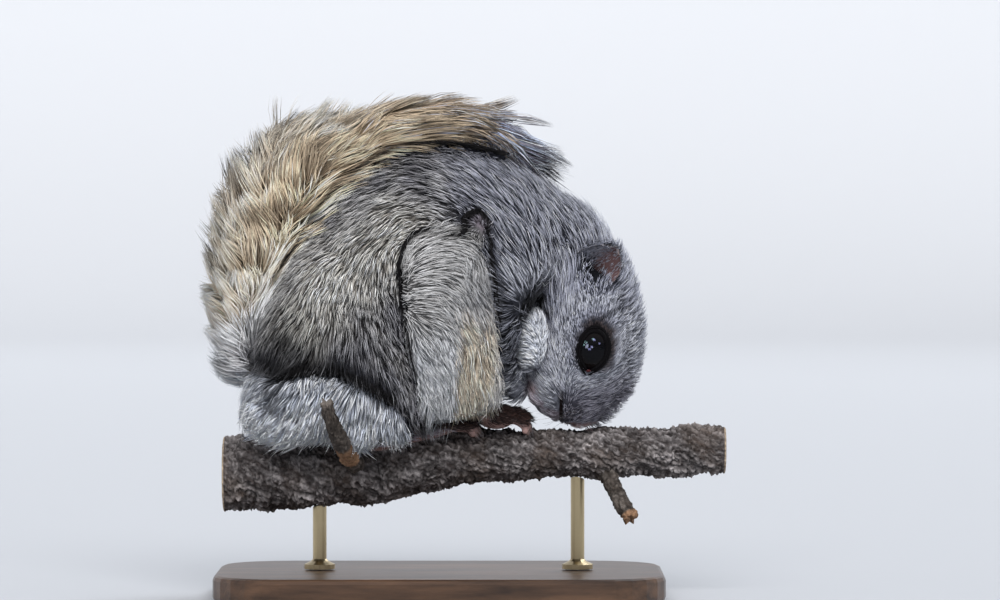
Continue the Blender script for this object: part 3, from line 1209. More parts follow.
coat = markings(body_root, body_found, body_share)
streak = ripple(body_root + lie * 2.0, 3.0, 12) * 0.5 + draw.normal(0, 0.6, count)
on_sleeve = body_form == SLEEVE_FORM
flecked = np.where(head > 0.5, 0.85, 1.0) * np.where(on_shank, 0.35, 1.0) * np.where(on_sleeve, 0.5, 1.0)
light = np.exp(flecked * 0.48 * streak)
coat = coat * light[:, None, None]
blackened = (draw.uniform(size=count) < 0.30 * flecked) & (eye_near > 1.7) & ~cheek & ~guard
coat[blackened, 2] = coat[blackened, 0] * 1.2
coat[blackened, 1] *= 0.5
coat[guard, 1:] *= 1.5
darker = fringe & (draw.uniform(size=count) < 0.5)
coat[darker] *= 0.6
low_back = (right_x < -43.5) & (right_z < 50.5)
coat[low_back] = COATS["under"] * light[low_back, None, None]
# Soft pale parts are lit as if they faced sideways, so that they don't break into hard blades.
flat_out = sideways(body_root, 0.3)
lit = cheek + 0.9 * hanging + (head > 0.5) * patch(right, 24.5, 45.5, 4, 5) + patch(right, 18, 49, 4, 6)
lit = np.clip(lit + 0.9 * on_sleeve * between(right_z, 75, 60), 0, 1)
lit = ((0.75 + 0.15 * hanging) * lit)[:, None]
for normal in (body_normal, half_normal, tip_normal):
    normal[:] = unit(blend(normal, flat_out, lit))
coat = np.clip(inked(coat, (body_root, half_way, tip)), 0, 0.97)


# %% Tufts as mesh
RIDGE = 0.4
TRIS_PER_PIECE = 185000
BODY_COLOUR_PLACES = (0.0, 0.35, 0.85)


def tuft_piece(name, normals, path, width, colours, root_map, slot, colour_places=BODY_COLOUR_PLACES):
    """Closed three-sided blades. path: (tufts, rings + 1, 3) with the point last; normals alike."""
    count, rings = path.shape[0], path.shape[1] - 1
    ahead = unit(np.gradient(path, axis=1))[:, :rings]
    across = unit(np.cross(normals[:, :rings], ahead))
    above = np.cross(ahead, across)
    t = np.linspace(0, 1, rings + 1)[:rings]
    breadth = width[:, None] / 2 * (0.75 + 0.9 * t - 1.2 * t**2)[None, :]
    centre = path[:, :rings]
    edges = [centre - across * breadth[..., None], centre + across * breadth[..., None],
             centre + above * (breadth * 2 * RIDGE)[..., None]]
    body = np.stack(edges, axis=2).reshape(count, rings * 3, 3)
    points = np.concatenate([body, path[:, rings:]], axis=1)
    size = rings * 3 + 1
    faces = [(0, 2, 1)]
    for r in range(rings - 1):
        for k in range(3):
            n = (k + 1) % 3
            a, b, c, d = r * 3 + k, r * 3 + n, r * 3 + 3 + n, r * 3 + 3 + k
            faces += [(a, b, c), (a, c, d)]
    last = (rings - 1) * 3
    faces += [(last, last + 1, size - 1), (last + 1, last + 2, size - 1), (last + 2, last, size - 1)]
    faces = (np.array(faces)[None] + (np.arange(count) * size)[:, None, None]).reshape(-1, 3)
    soft = np.stack([normals[:, :rings] - 0.3 * across, normals[:, :rings] + 0.3 * across,
                     normals[:, :rings] + 0.1 * above], axis=2).reshape(count, rings * 3, 3)
    soft = unit(np.concatenate([soft, normals[:, rings:]], axis=1))
    at = np.append(np.repeat(t, 3), 1.0)
    made = mesh_object(name, points.reshape(-1, 3), faces)
    painted(made, ramp(colours, colour_places, at).reshape(-1, 3))
    lie_layer = made.data.attributes.new("coat_normal", "FLOAT_VECTOR", "POINT")
    lie_layer.data.foreach_set("vector", soft.astype(np.float32).ravel())
    spot = np.column_stack([np.append(np.tile((-1.0, 1.0, 0.0), rings), 0.0), at * 2 - 1]) * 0.0015
    uv = (root_map[:, None] + spot[None]).reshape(-1, 2)[faces.ravel()]
    made.data.uv_layers.new(name="OFBake").data.foreach_set("uv", uv.astype(np.float32).ravel())
    return finished(made, COAT_FUR, slot)


def ramp(colours, places, at):
    """Three colours read at shares of the way to the tip, straight between the given places."""
    first = np.clip((at - places[0]) / (places[1] - places[0]), 0, 1)
    second = np.clip((at - places[1]) / (places[2] - places[1]), 0, 1)
    weight = np.stack([1 - first, first - second, second], axis=1)
    return np.einsum("vk,nkc->nvc", weight, colours)


def split_pieces(name, slot, keep, root, *arrays):
    """Cuts tufts from right to left into pieces that stay well under 200,000 triangles each.

    arrays: normals, path, width, colours and map place of each tuft, which has 6 rings - 2 triangles.
    """
    order = np.flatnonzero(keep)
    tris_each = 6 * (arrays[1].shape[1] - 1) - 2
    parts = max(1, math.ceil(len(order) * tris_each / TRIS_PER_PIECE))
    order = order[np.argsort(root[order, 1], kind="stable")]
    for number, chosen in enumerate(np.array_split(order, parts)):
        tuft_piece(f"{name}_{number + 1}", *[a[chosen] for a in arrays], slot)
    print(name, len(order), "tufts in", parts, "pieces")


path = np.stack([body_root - body_normal * 0.25, half_way, tip], axis=1)
normals = np.stack([body_normal, half_normal, tip_normal], axis=1)
sticking_out = (tip[:, 0] < -47.0) & (tip[:, 2] < 47.5)
for name, slot, keep in (
        ("coat_head", "fur_grey", head > 0.5), ("coat_body", "fur_grey", on_trunk & (head <= 0.5)),
        ("coat_underfur", "fur_white", on_shank), ("coat_sleeve", "fur_cream", on_sleeve)):
    split_pieces(name, slot, keep & ~sticking_out, body_root, normals, path, width, coat, root_map)

# %% [markdown]
# ## The tail's brush
# Tail hair is two or three times as long as body hair and springs from the bone outwards. At the
# base it stands out almost square to the tail, further on it streams along it. So each hair's
# path is worked out in the tail's own terms (how far along, which way round, how far out) and
# only then carried into space, so the brush keeps its outline.

# %% Tail hair
on_tail = ~on_body
tail_root = root[on_tail]
step = SAMPLES["tail"][2][found["tail"][0][on_tail]] * (len(core_along) - 1)
base_along = np.interp(step, np.arange(len(core_along)), core_along)
STEP_AHEAD = 0.6


def tail_frame(along):
    """The tail's section with the way its middle runs, over a step ahead."""
    middle, reach, half_y = tail_section(along)
    return middle, unit(tail_section(along + STEP_AHEAD)[0] - middle + 1e-9), reach, half_y


middle, run, reach, half_y = tail_frame(base_along)
flat_root = tail_root[:, (0, 2)]
tail_along = base_along + np.sum((flat_root - middle) * run, axis=1)
middle, run, reach, half_y = tail_frame(tail_along)
out_part = np.sum((flat_root - middle) * reach, axis=1) / np.maximum(np.sum(reach**2, axis=1), 1e-6)
tail_angle = np.arctan2(tail_root[:, 1] / half_y, out_part)
share0 = np.hypot(tail_root[:, 1] / half_y, out_part)
n_tail = len(tail_root)
tail_size = np.interp(tail_along, (0, 60, 90, 125), (4.2, 5.4, 4.0, 2.4))
tail_lock = locks_of(tail_root, tail_size, 31)
lock_draw = draw.uniform(-1, 1, (tail_lock.max() + 1, 3))[tail_lock]
hair = np.interp(tail_along, (0, 20, 60, 100, 125), (11, 15, 18, 17, 14)) * draw.uniform(0.75, 1.12, n_tail)
hair *= 1 + 0.22 * lock_draw[:, 0]
along_part = np.interp(tail_along, (0, 15, 40, 70, 95, 125), (0.30, 0.38, 0.55, 0.72, 0.86, 0.95))
turned = np.abs(tail_angle) / np.pi
inner_edge = between(turned, 0.62, 0.85)
along_part = along_part * (1 - inner_edge) + 0.88 * inner_edge
outer_edge = between(turned, 0.4, 0.15)
end = between(tail_along, 92, 108)
along_part *= 1 - 0.35 * outer_edge * between(tail_along, 15, 25) * between(tail_along, 80, 65)
swing = np.interp(tail_along, (0, 30, 70, 100, 120), (0.55, 0.50, 0.32, 0.14, 0.05)) * (1 - 0.85 * inner_edge)
swing = swing * (1 + 0.3 * lock_draw[:, 1]) * draw.uniform(0.8, 1.2, n_tail)
tip_share = 1.06 - 0.40 * draw.uniform(size=n_tail) ** 1.7 + 0.10 * lock_draw[:, 2] * (1 - inner_edge)
tip_share += 0.14 * lock_draw[:, 2] * outer_edge + 0.30 * end * (lock_draw[:, 2] + 0.3)
stands = draw.uniform(size=n_tail) < 0.07 + 0.25 * outer_edge * between(tail_along, 55, 75) + 0.2 * end
tip_share += (0.13 + 0.35 * end) * stands + 0.30 * inner_edge * (1 - end)
tip_share = np.maximum(tip_share, share0 + 0.06)
outwards = sideways(tail_root, 0.35)
places = (0.0, 0.33, 0.68, 1.0)
tail_path, tail_normals = [], []
stray = draw.normal(0, 1.0, (n_tail, 3)) * (0.9 + 1.0 * end)[:, None]
lock_stray = draw.normal(0, 1.0, (tail_lock.max() + 1, 3))[tail_lock]
stray += lock_stray * (0.5 + 0.9 * outer_edge + 1.9 * end)[:, None]
low_back = (tail_root[:, 0] < -43.5) & (tail_root[:, 2] < 50.5)
hair[low_back] *= 0.6
stray[low_back] *= 0.3
for t in places:
    along = tail_along + hair * along_part * t
    over = np.maximum(along - (TAIL_END - 0.5), 0)
    angle = tail_angle * (1 - swing * t)
    out = share0 + (tip_share - share0) * t**0.8
    at = tail_map(np.minimum(along, TAIL_END - 0.5), angle, out)
    middle, run, reach, half_y = tail_frame(np.minimum(along, TAIL_END - 1.5))
    at = at + np.column_stack([run[:, 0], np.zeros(n_tail), run[:, 1]]) * over[:, None] + stray * t**2
    cosine = np.cos(angle)[:, None] / np.sum(reach**2, axis=1, keepdims=True)
    radial = np.column_stack([reach[:, 0:1] * cosine, np.sin(angle) / half_y, reach[:, 1:2] * cosine])
    tail_path.append(at)
    tail_normals.append(unit(blend(unit(radial), outwards, (0.75 * inner_edge)[:, None])))
tail_path[0] = tail_root - tail_normals[0] * 0.2
pull = np.clip(draw.uniform(0.45, 0.85, n_tail) * (1 - 0.6 * inner_edge) + 0.3 * end, 0, 0.9)
tail_path[1:] = drawn_together(tail_lock, list(zip(places[1:], tail_path[1:])), pull)
tail_path, tail_normals = np.stack(tail_path, axis=1), np.stack(tail_normals, axis=1)
print("tail hairs", n_tail)

# %% Tail colours
streaks = ripple(tail_root * (1, 0.6, 1), 8.0, 41) + 0.6 * ripple(tail_root, 3.0, 42) + 0.5 * lock_draw[:, 0]
outer = between(turned, 0.45, 0.12)
tail_coat = layered(
    n_tail, "cream",
    ("under", between(tail_along, 24, 8) * 0.7),
    ("tan", between(turned + 0.05 * streaks, 0.42, 0.62) * between(tail_along, 15, 40) * 0.9),
    ("tan", between(tail_along, 62, 82) * 0.85),
    ("brown", between(streaks, 0.55, 1.3) * (0.55 - 0.35 * inner_edge) * between(tail_along, 18, 34)),
    ("brown", between(tail_along, 66, 84) * outer * 0.9 * (draw.uniform(size=n_tail) < 0.75)),
    ("brown", between(tail_along, 78, 92) * 0.35),
    ("slate", between(tail_along + 3 * streaks, 94, 110) * 0.9),
    ("dark", 0.6 * end * (draw.uniform(size=n_tail) < 0.25)))
glint = draw.uniform(size=n_tail) < 0.10 * between(tail_along, 60, 90) + 0.35 * end
tail_coat[glint, 2] = np.array((0.86, 0.90, 1.0)) ** 2.2
tail_coat[glint & (end > 0.3), 1] = np.array((0.66, 0.71, 0.84)) ** 2.2
tail_coat[low_back] = COATS["under"]
lighter = 0.5 * inner_edge * between(tail_along, 70, 55) + 0.25 * between(tail_along, 34, 18) + 0.4 * end
tail_coat = tail_coat * np.exp(draw.normal(0, 0.20, n_tail) - 0.22 * streaks + lighter)[:, None, None]
tail_coat = np.clip(inked(tail_coat, (tail_root, tail_path[:, 2], tail_path[:, 3])), 0, 0.97)
tail_width = 0.29 * draw.uniform(0.6, 1.2, n_tail) * (1 - 0.35 * stands)
sticking_out = (tail_path[:, 3, 0] < -47.0) & (tail_path[:, 3, 2] < 47.5)
split_pieces("coat_tail", "fur_cream", ~sticking_out, tail_root, tail_normals, tail_path, tail_width,
             tail_coat, tail_uv)

# %% [markdown]
# ## Eyes and lids
# A flying squirrel's eyes are huge, nearly round and almost black, set in a thick dark rim. The
# eyeball is a true sphere, deep in its socket, with a brown iris that hardly shows round a wide
# pupil. Two soft tubes laid on the ball along the leaning oval of the opening make the rims of
# the lids, drawn out at the lower end into the tear corner.

# %% Eyeballs
for side, name in SIDES:
    centre = beside(EYE_CENTRE, side)
    ball_made = ball(centre, (EYE_RADIUS,) * 3, sides=56, rings=36)
    gaze = np.degrees(np.arccos(np.clip(unit(ball_made[0] - centre) @ eye_axes(side)[0], -1, 1)))
    iris = np.exp(-((gaze - 36) / 7.0) ** 2)[:, None]
    colour = blend((0.0020, 0.0020, 0.003), (0.005, 0.004, 0.004), iris)
    eye_glass.objects.link(piece(f"eyeball_{name}", ball_made, colour, EYE_WET, "eye_black", f"eye_{name}"))


# %% Lid rims and tear corners
def ring_tube(path, radii, sides=10):
    """A closed ring: circles of the given radii square to a loop of points."""
    ahead = unit(np.roll(path, -1, 0) - np.roll(path, 1, 0))
    first = unit(laid_flat(unit(path - path.mean(axis=0)), ahead))
    points = (path[:, None] + radii[:, None, None] * spokes(ahead, first, sides)).reshape(-1, 3)
    quads = ring_faces(len(path) + 1, sides) % len(points)
    none = np.zeros((0, 3), int)
    return points, quads[:, ::-1] if volume(points, quads, none) < 0 else quads, none


LID_RIMS = ((0.87, 5.95, 0.50), (1.02, 6.15, 0.45))  # scale of the opening, distance from the centre, radius
LID_BLACK, TEAR_RED = (0.004, 0.0035, 0.004), (0.06, 0.016, 0.017)
turn = turns(72)
below = np.clip(-np.sin(turn), 0, 1)
for side, name in SIDES:
    centre = beside(EYE_CENTRE, side)
    look, up, across = eye_axes(side)
    parts = []
    for scale, reach, radius in LID_RIMS:
        flat = (across * (LID_HALF_WIDTH * np.cos(turn) * (1 - 0.25 * below**3) * scale)[:, None]
                + up * (LID_HALF_LENGTH * np.sin(turn) * (1 + 0.14 * below**6) * scale)[:, None])
        deep = np.sqrt(reach**2 - np.sum(flat**2, axis=1))
        radii = radius * (0.9 + 0.18 * np.sin(turn) + 0.06 * np.sin(5 * turn))
        parts.append(ring_tube(centre + flat + look * deep[:, None], radii))
    piece(f"lids_{name}", joined(parts), LID_BLACK, LID_SKIN, "eye_black")
    corner = centre - up * LID_HALF_LENGTH * 0.98 + look * 3.9
    tear = ball(corner, (0.55, 0.4, 0.3), sides=16, rings=9)
    piece(f"tear_corner_{name}", tear, TEAR_RED, LID_SKIN, "ear_skin")
print("eyes and lids done")

# %% [markdown]
# ## Nose, lips and the line of the mouth
# The face hangs down to the branch, so the nose pad is low and the mouth shows as one dark line
# up the side of the muzzle, in the groove between upper lip and chin. Rays shot at the skin find
# where that line runs, so it sits on the surface exactly.

# %% Nose and mouth
tree = BVHTree.FromPolygons([Vector(p) for p in skin_points], skin_quads.tolist())


def on_skin(start, towards):
    hit = tree.ray_cast(Vector(start), Vector(towards).normalized())[0]
    return np.array(hit if hit is not None else start)


def mouth_path(x):
    """Where a plane across the muzzle at x meets the skin, from one corner of the mouth to the other."""
    heights = np.linspace(48.6, 43.2, 7)
    down = [on_skin((x, -30.0, z), (0, 1, 0)) for z in heights]
    under = [on_skin((x, y, 20.0), (0, 0, 1)) for y in (-3.4, -1.8, 0.0, 1.8, 3.4)]
    up = [on_skin((x, 30.0, z), (0, -1, 0)) for z in heights[::-1]]
    return np.array(down + under + up)


def mouth_tube(x, radius, proud, sides=8):
    """A tube along that path, standing a little proud of it and thin at both ends."""
    path = mouth_path(x)
    path = path - unit(np.array((x, 0.0, 46.0)) - path) * proud
    radii = radius * np.interp(np.arange(len(path)), (0, 2, len(path) - 3, len(path) - 1), (0.25, 1, 1, 0.25))
    return tube(path, radii, sides=sides, count=72)


mouth = piece("mouth_line", mouth_tube(MOUTH_X, 0.42, 0.25), (0.012, 0.008, 0.008), LID_SKIN, "eye_black")
print("mouth", len(mouth.data.vertices), "points")


# %% Black hairs in the creases
HAIRS_PER_AREA = 16


def crease_hairs(line, half, lift, way=None):
    """Black hairs strewn along a crease: root, outward way, direction, lift and place on the map."""
    line = np.array(line, float)
    run = run_along(line)
    at = draw.uniform(0, run[-1], int(run[-1] * HAIRS_PER_AREA * half))
    before, spot, after = (np.column_stack([np.interp(at + step, run, line[:, k]) for k in (0, 1)])
                           for step in (-0.8, 0.0, 0.8))
    ahead = unit(after - before + 1e-6) if way is None else np.repeat([way], len(at), axis=0)
    spot = spot - ahead * 0.9 + draw.normal(0, 0.35 * half, spot.shape)
    found = []
    for side in (-1, 1):
        for (x, z), (step_x, step_z) in zip(spot, ahead):
            place, _, face, _ = tree.ray_cast(Vector((x, side * 60.0, z)), Vector((0.0, -side, 0.0)))
            if place is not None:
                u, v = skin_map[face].mean(axis=0)
                found.append((*place, 0, side, 0.2, step_x, 0, step_z, lift, u, v))
    return np.array(found)


rows = np.concatenate([crease_hairs(*DARK_LINES[k], *lift_and_way) for k, *lift_and_way in (
    (0, 2.6), (1, 2.2), (2, 2.0), (3, 2.4, (-0.2, -0.98)), (5, 1.2))])
base, outward, ahead = rows[:, 0:3], unit(rows[:, 3:6]), unit(rows[:, 6:9])
n = len(rows)
rise = (rows[:, 9] * draw.uniform(0.55, 1.1, n))[:, None]
reach = draw.uniform(1.6, 2.6, n)[:, None]
crease_path = np.stack([base + outward * rise * 0.3, base + ahead * reach * 0.5 + outward * rise,
                        base + ahead * reach + outward * rise * 0.85], axis=1)
crease_coat = COATS["dark"][None] * draw.uniform(0.6, 1.3, (n, 1, 1))
tuft_piece("coat_creases", np.stack([outward] * 3, axis=1), crease_path, draw.uniform(0.22, 0.36, n),
           crease_coat, rows[:, 10:12], "fur_grey")
print("black hairs", n)

# %% Nose pad
NOSE_MIDDLE, NOSTRIL = (31.8, 0.0, 40.75), (34.2, 1.35, 40.2)


def in_nostrils(points, half_sizes):
    """1 in the middle of each nostril: exp(-(distance / half size)^2) for both sides."""
    return [np.exp(-np.sum(((points - beside(NOSTRIL, side)) / half_sizes) ** 2, axis=1))
            for side, _ in SIDES]


points, quads, tris = ball(NOSE_MIDDLE, (3.2, 2.0, 1.05), sides=64, rings=40)
points = points - unit(points - NOSE_MIDDLE) * (0.8 * sum(in_nostrils(points, (0.75, 0.5, 0.6))))[:, None]
points[:, 2] += 0.35 * np.exp(-(points[:, 1] / 0.22) ** 2) * between(points[:, 2], 41.0, 39.8)
pits = np.clip(sum(in_nostrils(points, (0.9, 0.6, 0.7))), 0, 1)
nose_colour = np.array((0.27, 0.19, 0.185)) * np.exp(-1.8 * pits)[:, None]
piece("nose_pad", (points, quads, tris), nose_colour, BARE_SKIN, "ear_skin")
print("nose and mouth done")

# %% [markdown]
# ## Ears
# Each ear is a thin cup, bare enough at its outer half for light to show the skin's red-brown
# through it. It is worked out as arcs across the ear, deepest at the root, once for each face,
# and the two faces meet in a rim. Fine short hairs then lie over both faces.

# %% Ear cups
EAR_ROOT, EAR_ALONG, EAR_OPENING = (33.2, 12.6, 73.8), (0.60, 0.45, 0.60), (0.05, 0.86, -0.50)
EAR_LENGTH, EAR_WIDTH = 13.5, 11.5
EAR_GREY, EAR_RED, EAR_RIM = (0.28, 0.27, 0.30), (0.17, 0.095, 0.09), (0.42, 0.36, 0.34)
EAR_U, EAR_V = np.broadcast_arrays(np.linspace(0, 1, 44)[:, None], np.linspace(-1, 1, 36)[None, :])


def ear_face(side, u, v, raise_by=0.0):
    """Arc across the ear: radius times sine and cosine of the bend, which opens out towards the tip."""
    along, opening = unit(beside(EAR_ALONG, side)), beside(EAR_OPENING, side)
    opening = unit(opening - along * (opening @ along))
    across = np.cross(along, opening)
    half = EAR_WIDTH / 2 * np.where(u < 0.45, 0.80 + 0.2 * np.sin(np.pi * u / 0.9), 1.0)
    half = half * np.sqrt(np.maximum(1 - np.clip((u - 0.45) / 0.56, 0, 1) ** 2, 0.0004))
    bend = np.radians(82 - 44 * u)
    radius = half / np.sin(bend)
    length = EAR_LENGTH * (u * (1 - 0.1 * v**2)) - 1.5
    wave = 0.35 * np.sin(3.2 * v + 2.0 * u) * u + raise_by
    return (beside(EAR_ROOT, side) + along * length[..., None]
            + across * (radius * np.sin(v * bend))[..., None]
            - opening * (radius * (np.cos(v * bend) - np.cos(bend)) - wave)[..., None])


ears = {}
wall = 0.30 * np.sqrt(np.clip(1 - np.abs(EAR_V) ** 6, 0, 1)) * (1 - 0.4 * EAR_U)
both_faces = [np.concatenate(pair, axis=1).ravel() for pair in (
    (EAR_U, EAR_U), (EAR_V, EAR_V[:, ::-1]), (np.ones_like(EAR_U), np.zeros_like(EAR_U)))]
# The last two values are those of the fans' middles, at the root and at the tip.
ear_u, ear_v, is_front = (np.append(a, ends) for a, ends in zip(both_faces, ((0, 1), (0, 0), (1, 1))))
for side, name in SIDES:
    front, back = ear_face(side, EAR_U, EAR_V, wall), ear_face(side, EAR_U, EAR_V, -wall)
    points, quads, tris = closed(np.concatenate([front, back[:, ::-1]], axis=1))
    ear_across = -side * ear_v
    deep = is_front * between(ear_u, 0.55, 0.05) * between(np.abs(ear_across), 1.0, 0.3)
    colour = blend(EAR_GREY, EAR_RED, between(ear_across + 0.3 * (ear_u - 0.5), -0.35, 0.25)[:, None])
    colour = colour * (1 - 0.85 * deep)[:, None] * (1 + 0.10 * ripple(points, 1.6, 61))[:, None]
    rim = between(np.maximum(np.abs(ear_across), ear_u), 0.93, 0.99)[:, None]
    colour = np.clip(blend(colour, EAR_RIM, 0.5 * rim), 0.01, 1)
    piece(f"ear_cup_{name}", (points, quads, tris), colour, BARE_SKIN, "ear_skin", f"ear_{name}")
    ears[name] = (points, quads, ear_across)
print("ears", len(points), "points each")


# %% Ear hair
def short_tufts(name, base, normals, lie, colours, spread, width, height, uv, slot, longer=1.0):
    """Short straight tufts for small parts: root, one ring half way out, and a point.

    Spread is how unlike each other their shades are; width and height are ranges in mm.
    """
    n = len(base)
    length, width = draw.uniform(1.3, 2.6, n) * longer, draw.uniform(*width, n)
    height = draw.uniform(*height, n)[:, None]
    colours = colours * np.exp(draw.normal(0, spread, n))[:, None, None]
    path = np.stack([base - normals * 0.15, base + lie * (length * 0.5)[:, None] + normals * (height * 0.8),
                     base + lie * length[:, None] + normals * height], axis=1)
    tuft_piece(name, np.stack([normals] * 3, axis=1), path, width, colours, uv, slot, (0.0, 0.45, 1.0))
    print(name, n, "tufts")


def quad_map(quads, points, normals):
    """A box unwrap: each face lies on the plane of its normal's largest axis, in a sixth of the map."""
    facing = normals[quads].mean(axis=1)
    axis = np.abs(facing).argmax(axis=1)
    cell = axis * 2 + (np.take_along_axis(facing, axis[:, None], 1)[:, 0] > 0)
    low, size = points.min(axis=0), np.ptp(points, axis=0).max()
    scaled = (points[quads] - low) / size
    first, second = np.array((1, 0, 0))[axis], np.array((2, 2, 1))[axis]
    rows = np.arange(len(quads))[:, None]
    uv = np.stack([scaled[rows, np.arange(4), k[:, None]] for k in (first, second)], -1)
    return uv * 0.31 + np.stack([(cell % 3) / 3 + 0.01, (cell // 3) / 2 + 0.01], -1)[:, None]


for side, name in SIDES:
    points, quads, ear_across = ears[name]
    normals = vertex_normals(points, quads)
    bare = between(ear_across, -0.1, 0.4)
    thick = (7.0 - 4.5 * bare) * between(ear_u, 0.02, 0.12) * (1 - 0.35 * is_front)
    box_map = quad_map(quads, points, normals)
    base, normal, ear_uv, pale = roots_on(points, normals, quads, box_map, thick, bare)
    up_way = unit(beside(EAR_ALONG, side))
    flat = unit(laid_flat(up_way, normal) + draw.normal(0, 0.16, normal.shape))
    colours = layered(len(base), "head", ("crown", 0.5 * draw.uniform(size=len(base))), ("cheek", pale * 0.7))
    short_tufts(f"coat_ear_{name}", base, normal, flat, colours, 0.15, (0.10, 0.18), (0.15, 0.5),
                ear_uv, "fur_grey")

# %% [markdown]
# ## Feet
# A squirrel's hand and foot are padded and jointed, with hooked claws that grip the bark. Palm,
# wrist and toes are drawn as balls and tubes, melted into one form with a fine remesh, and then
# given short dark fur on top while the toes' tips stay bare and pinkish.

# %% Hands and feet
CLAW_BROWN, CLAW_TIP, TOE_PINK = (0.16, 0.10, 0.085), (0.035, 0.028, 0.028), (0.30, 0.185, 0.165)
FOOT_FUR = np.array(((0.05, 0.04, 0.04), (0.17, 0.12, 0.11), (0.33, 0.26, 0.24))) ** 2.2
FORWARD = np.array((1.0, 0.0, 0.12))


def forefoot_parts(side):
    parts = [ball(beside((13.0, 4.9, 41.6), side), (4.3, 3.1, 2.6)),
             tube([beside(p, side) for p in ((4.5, 8.5, 45.0), (8.5, 7.2, 43.8), (12.5, 5.4, 42.4))],
                  (2.9, 2.8, 2.1), sides=16, count=12)]
    toes = []
    for index in range(4):
        y = 1.5 + 1.75 * index
        drop = 0.096 * (y - 1.5) ** 1.6
        ahead = 0.9 * math.sin(math.pi * (index + 0.7) / 4.2)
        toes.append([beside(p, side) for p in (
            (14.5, y, 42.0 - drop), (17.0 + ahead * 0.5, y + 0.2, 42.5 - drop),
            (18.8 + ahead, y + 0.3, 41.5 - drop), (19.7 + ahead, y + 0.3, 40.1 - drop))])
    return parts, toes


def hindfoot_parts(side):
    middle = [beside(p, side) for p in (
        (-19.0, 11.2, 36.2), (-14.0, 10.8, 37.0), (-7.0, 9.6, 38.6), (-0.5, 8.4, 40.0), (3.2, 7.8, 40.4))]
    parts = [tube(middle, (1.9, 2.8, 2.7, 2.7, 1.8), sides=18, count=26)]
    toes = []
    for index in range(5):
        y = 4.0 + 1.75 * index
        ahead = 1.3 * math.sin(math.pi * (index + 0.8) / 5.4)
        drop = 0.10 * index**1.9
        toes.append([beside(p, side) for p in (
            (0.6, y * 0.75 + 2.1, 40.2 - drop * 0.5), (3.8 + ahead * 0.6, y, 41.0 - drop),
            (6.0 + ahead, y + 0.1, 40.7 - drop), (7.4 + ahead, y + 0.1, 39.6 - drop))])
    return parts, toes


def claw(path, length, radius):
    """A hooked claw: a tapered tube that leaves the toe and curls down."""
    path = np.asarray(path)
    ahead = unit(path[-1] - path[-2])
    hook = unit(ahead + (0.25, 0, -0.9))
    base = path[-1] - ahead * 0.35
    line = np.array([base, base + ahead * length * 0.35 + (0, 0, 0.12), base + ahead * length * 0.62
                     + hook * length * 0.16, base + ahead * length * 0.75 + hook * length * 0.42])
    return tube(line, radius * np.array((0.55, 0.5, 0.34, 0.07)), sides=10, count=16)


# For each foot: its parts, the claws' length, the colour of its skin, and how pink its bare parts are.
FEET = (("forefoot", forefoot_parts, 2.4, (0.085, 0.055, 0.05), 0.85),
        ("hindfoot", hindfoot_parts, 2.2, (0.07, 0.042, 0.036), 0.6))
for kind, maker, claw_length, skin_colour, pinkness in FEET:
    for side, name in SIDES:
        foot_parts, toes = maker(side)
        for toe in toes:
            foot_parts += [tube(toe, (0.95, 1.0, 0.92, 0.72), sides=14, count=22),
                           ball(toe[-1] + (-0.2, 0, -0.1), (0.85, 0.8, 0.75), sides=16, rings=9)]
        foot = remeshed(f"{kind}_flesh_{name}", foot_parts, 0.28, 3)
        points, normals, quads = arrays_of(foot)
        tips = np.array([toe[-1] for toe in toes])
        bare = between(nearest(points, tips)[1] + 0.25 * ripple(points, 1.5, 71), 2.6, 1.2)
        pink = np.maximum(bare, between(normals[:, 2], -0.1, -0.6))[:, None] * pinkness
        painted(foot, blend(skin_colour, TOE_PINK, pink) * (1 + 0.15 * ripple(points, 1.2, 72))[:, None])
        finished(foot, BARE_SKIN, "fur_brown", f"{kind}_{name}")
        claws = joined([claw(toe, claw_length, 1.05) for toe in toes])
        dark_end = between(nearest(claws[0], tips)[1], 0.3, 1.6)[:, None]
        piece(f"{kind}_claws_{name}", claws, blend(CLAW_BROWN, CLAW_TIP, dark_end), CLAW_HORN, "eye_black")
        hairy = 11.0 * (1 - bare) * between(normals[:, 2], -0.75, -0.3)
        base, normal, foot_uv = roots_on(points, normals, quads, quad_map(quads, points, normals), hairy)
        flat = unit(laid_flat(FORWARD, normal) + draw.normal(0, 0.14, normal.shape))
        low = between(normal[:, 2], 0.1, -0.5) * (base[:, 0] < 2)
        colours = blend(FOOT_FUR, COATS["lip"], np.clip(low * 0.7, 0, 1)[:, None, None])
        short_tufts(f"coat_{kind}_{name}", base, normal, flat, colours, 0.3, (0.14, 0.24), (0.2, 0.7),
                    foot_uv, "fur_brown", 1 + 0.4 * low)

# %% [markdown]
# ## Whiskers
# Whiskers spring from the pads beside the nose and taper to almost nothing. They are few and
# fine here, dark at the root and paler at the tip, and curve gently down.

# %% Whiskers
whisker_draw = np.random.default_rng(17)
parts = []
for side, _ in SIDES:
    for index in range(9):
        z = 42.2 + 0.8 * (index % 3) + whisker_draw.uniform(-0.2, 0.2)
        x = 30.0 + 1.5 * (index // 3) + whisker_draw.uniform(-0.3, 0.3)
        start = on_skin((x, side * 30.0, z), (0, -side, 0))
        out = unit(np.array((-0.75 + 0.25 * (index // 3), side * 0.9, -0.18 - 0.12 * (index % 3)))
                   + whisker_draw.normal(0, 0.12, 3))
        reach = whisker_draw.uniform(7.0, 12.0)
        bend = np.array((-0.10, 0.0, 0.10)) * reach
        t = np.linspace(0, 1, 12)[:, None]
        parts.append(tube(start + out * reach * t + bend * t**2, 0.065 - 0.052 * t[:, 0], sides=5))
piece("whiskers", joined(parts), (0.05, 0.045, 0.045), WHISKER, "eye_black")
print("whiskers", len(parts))

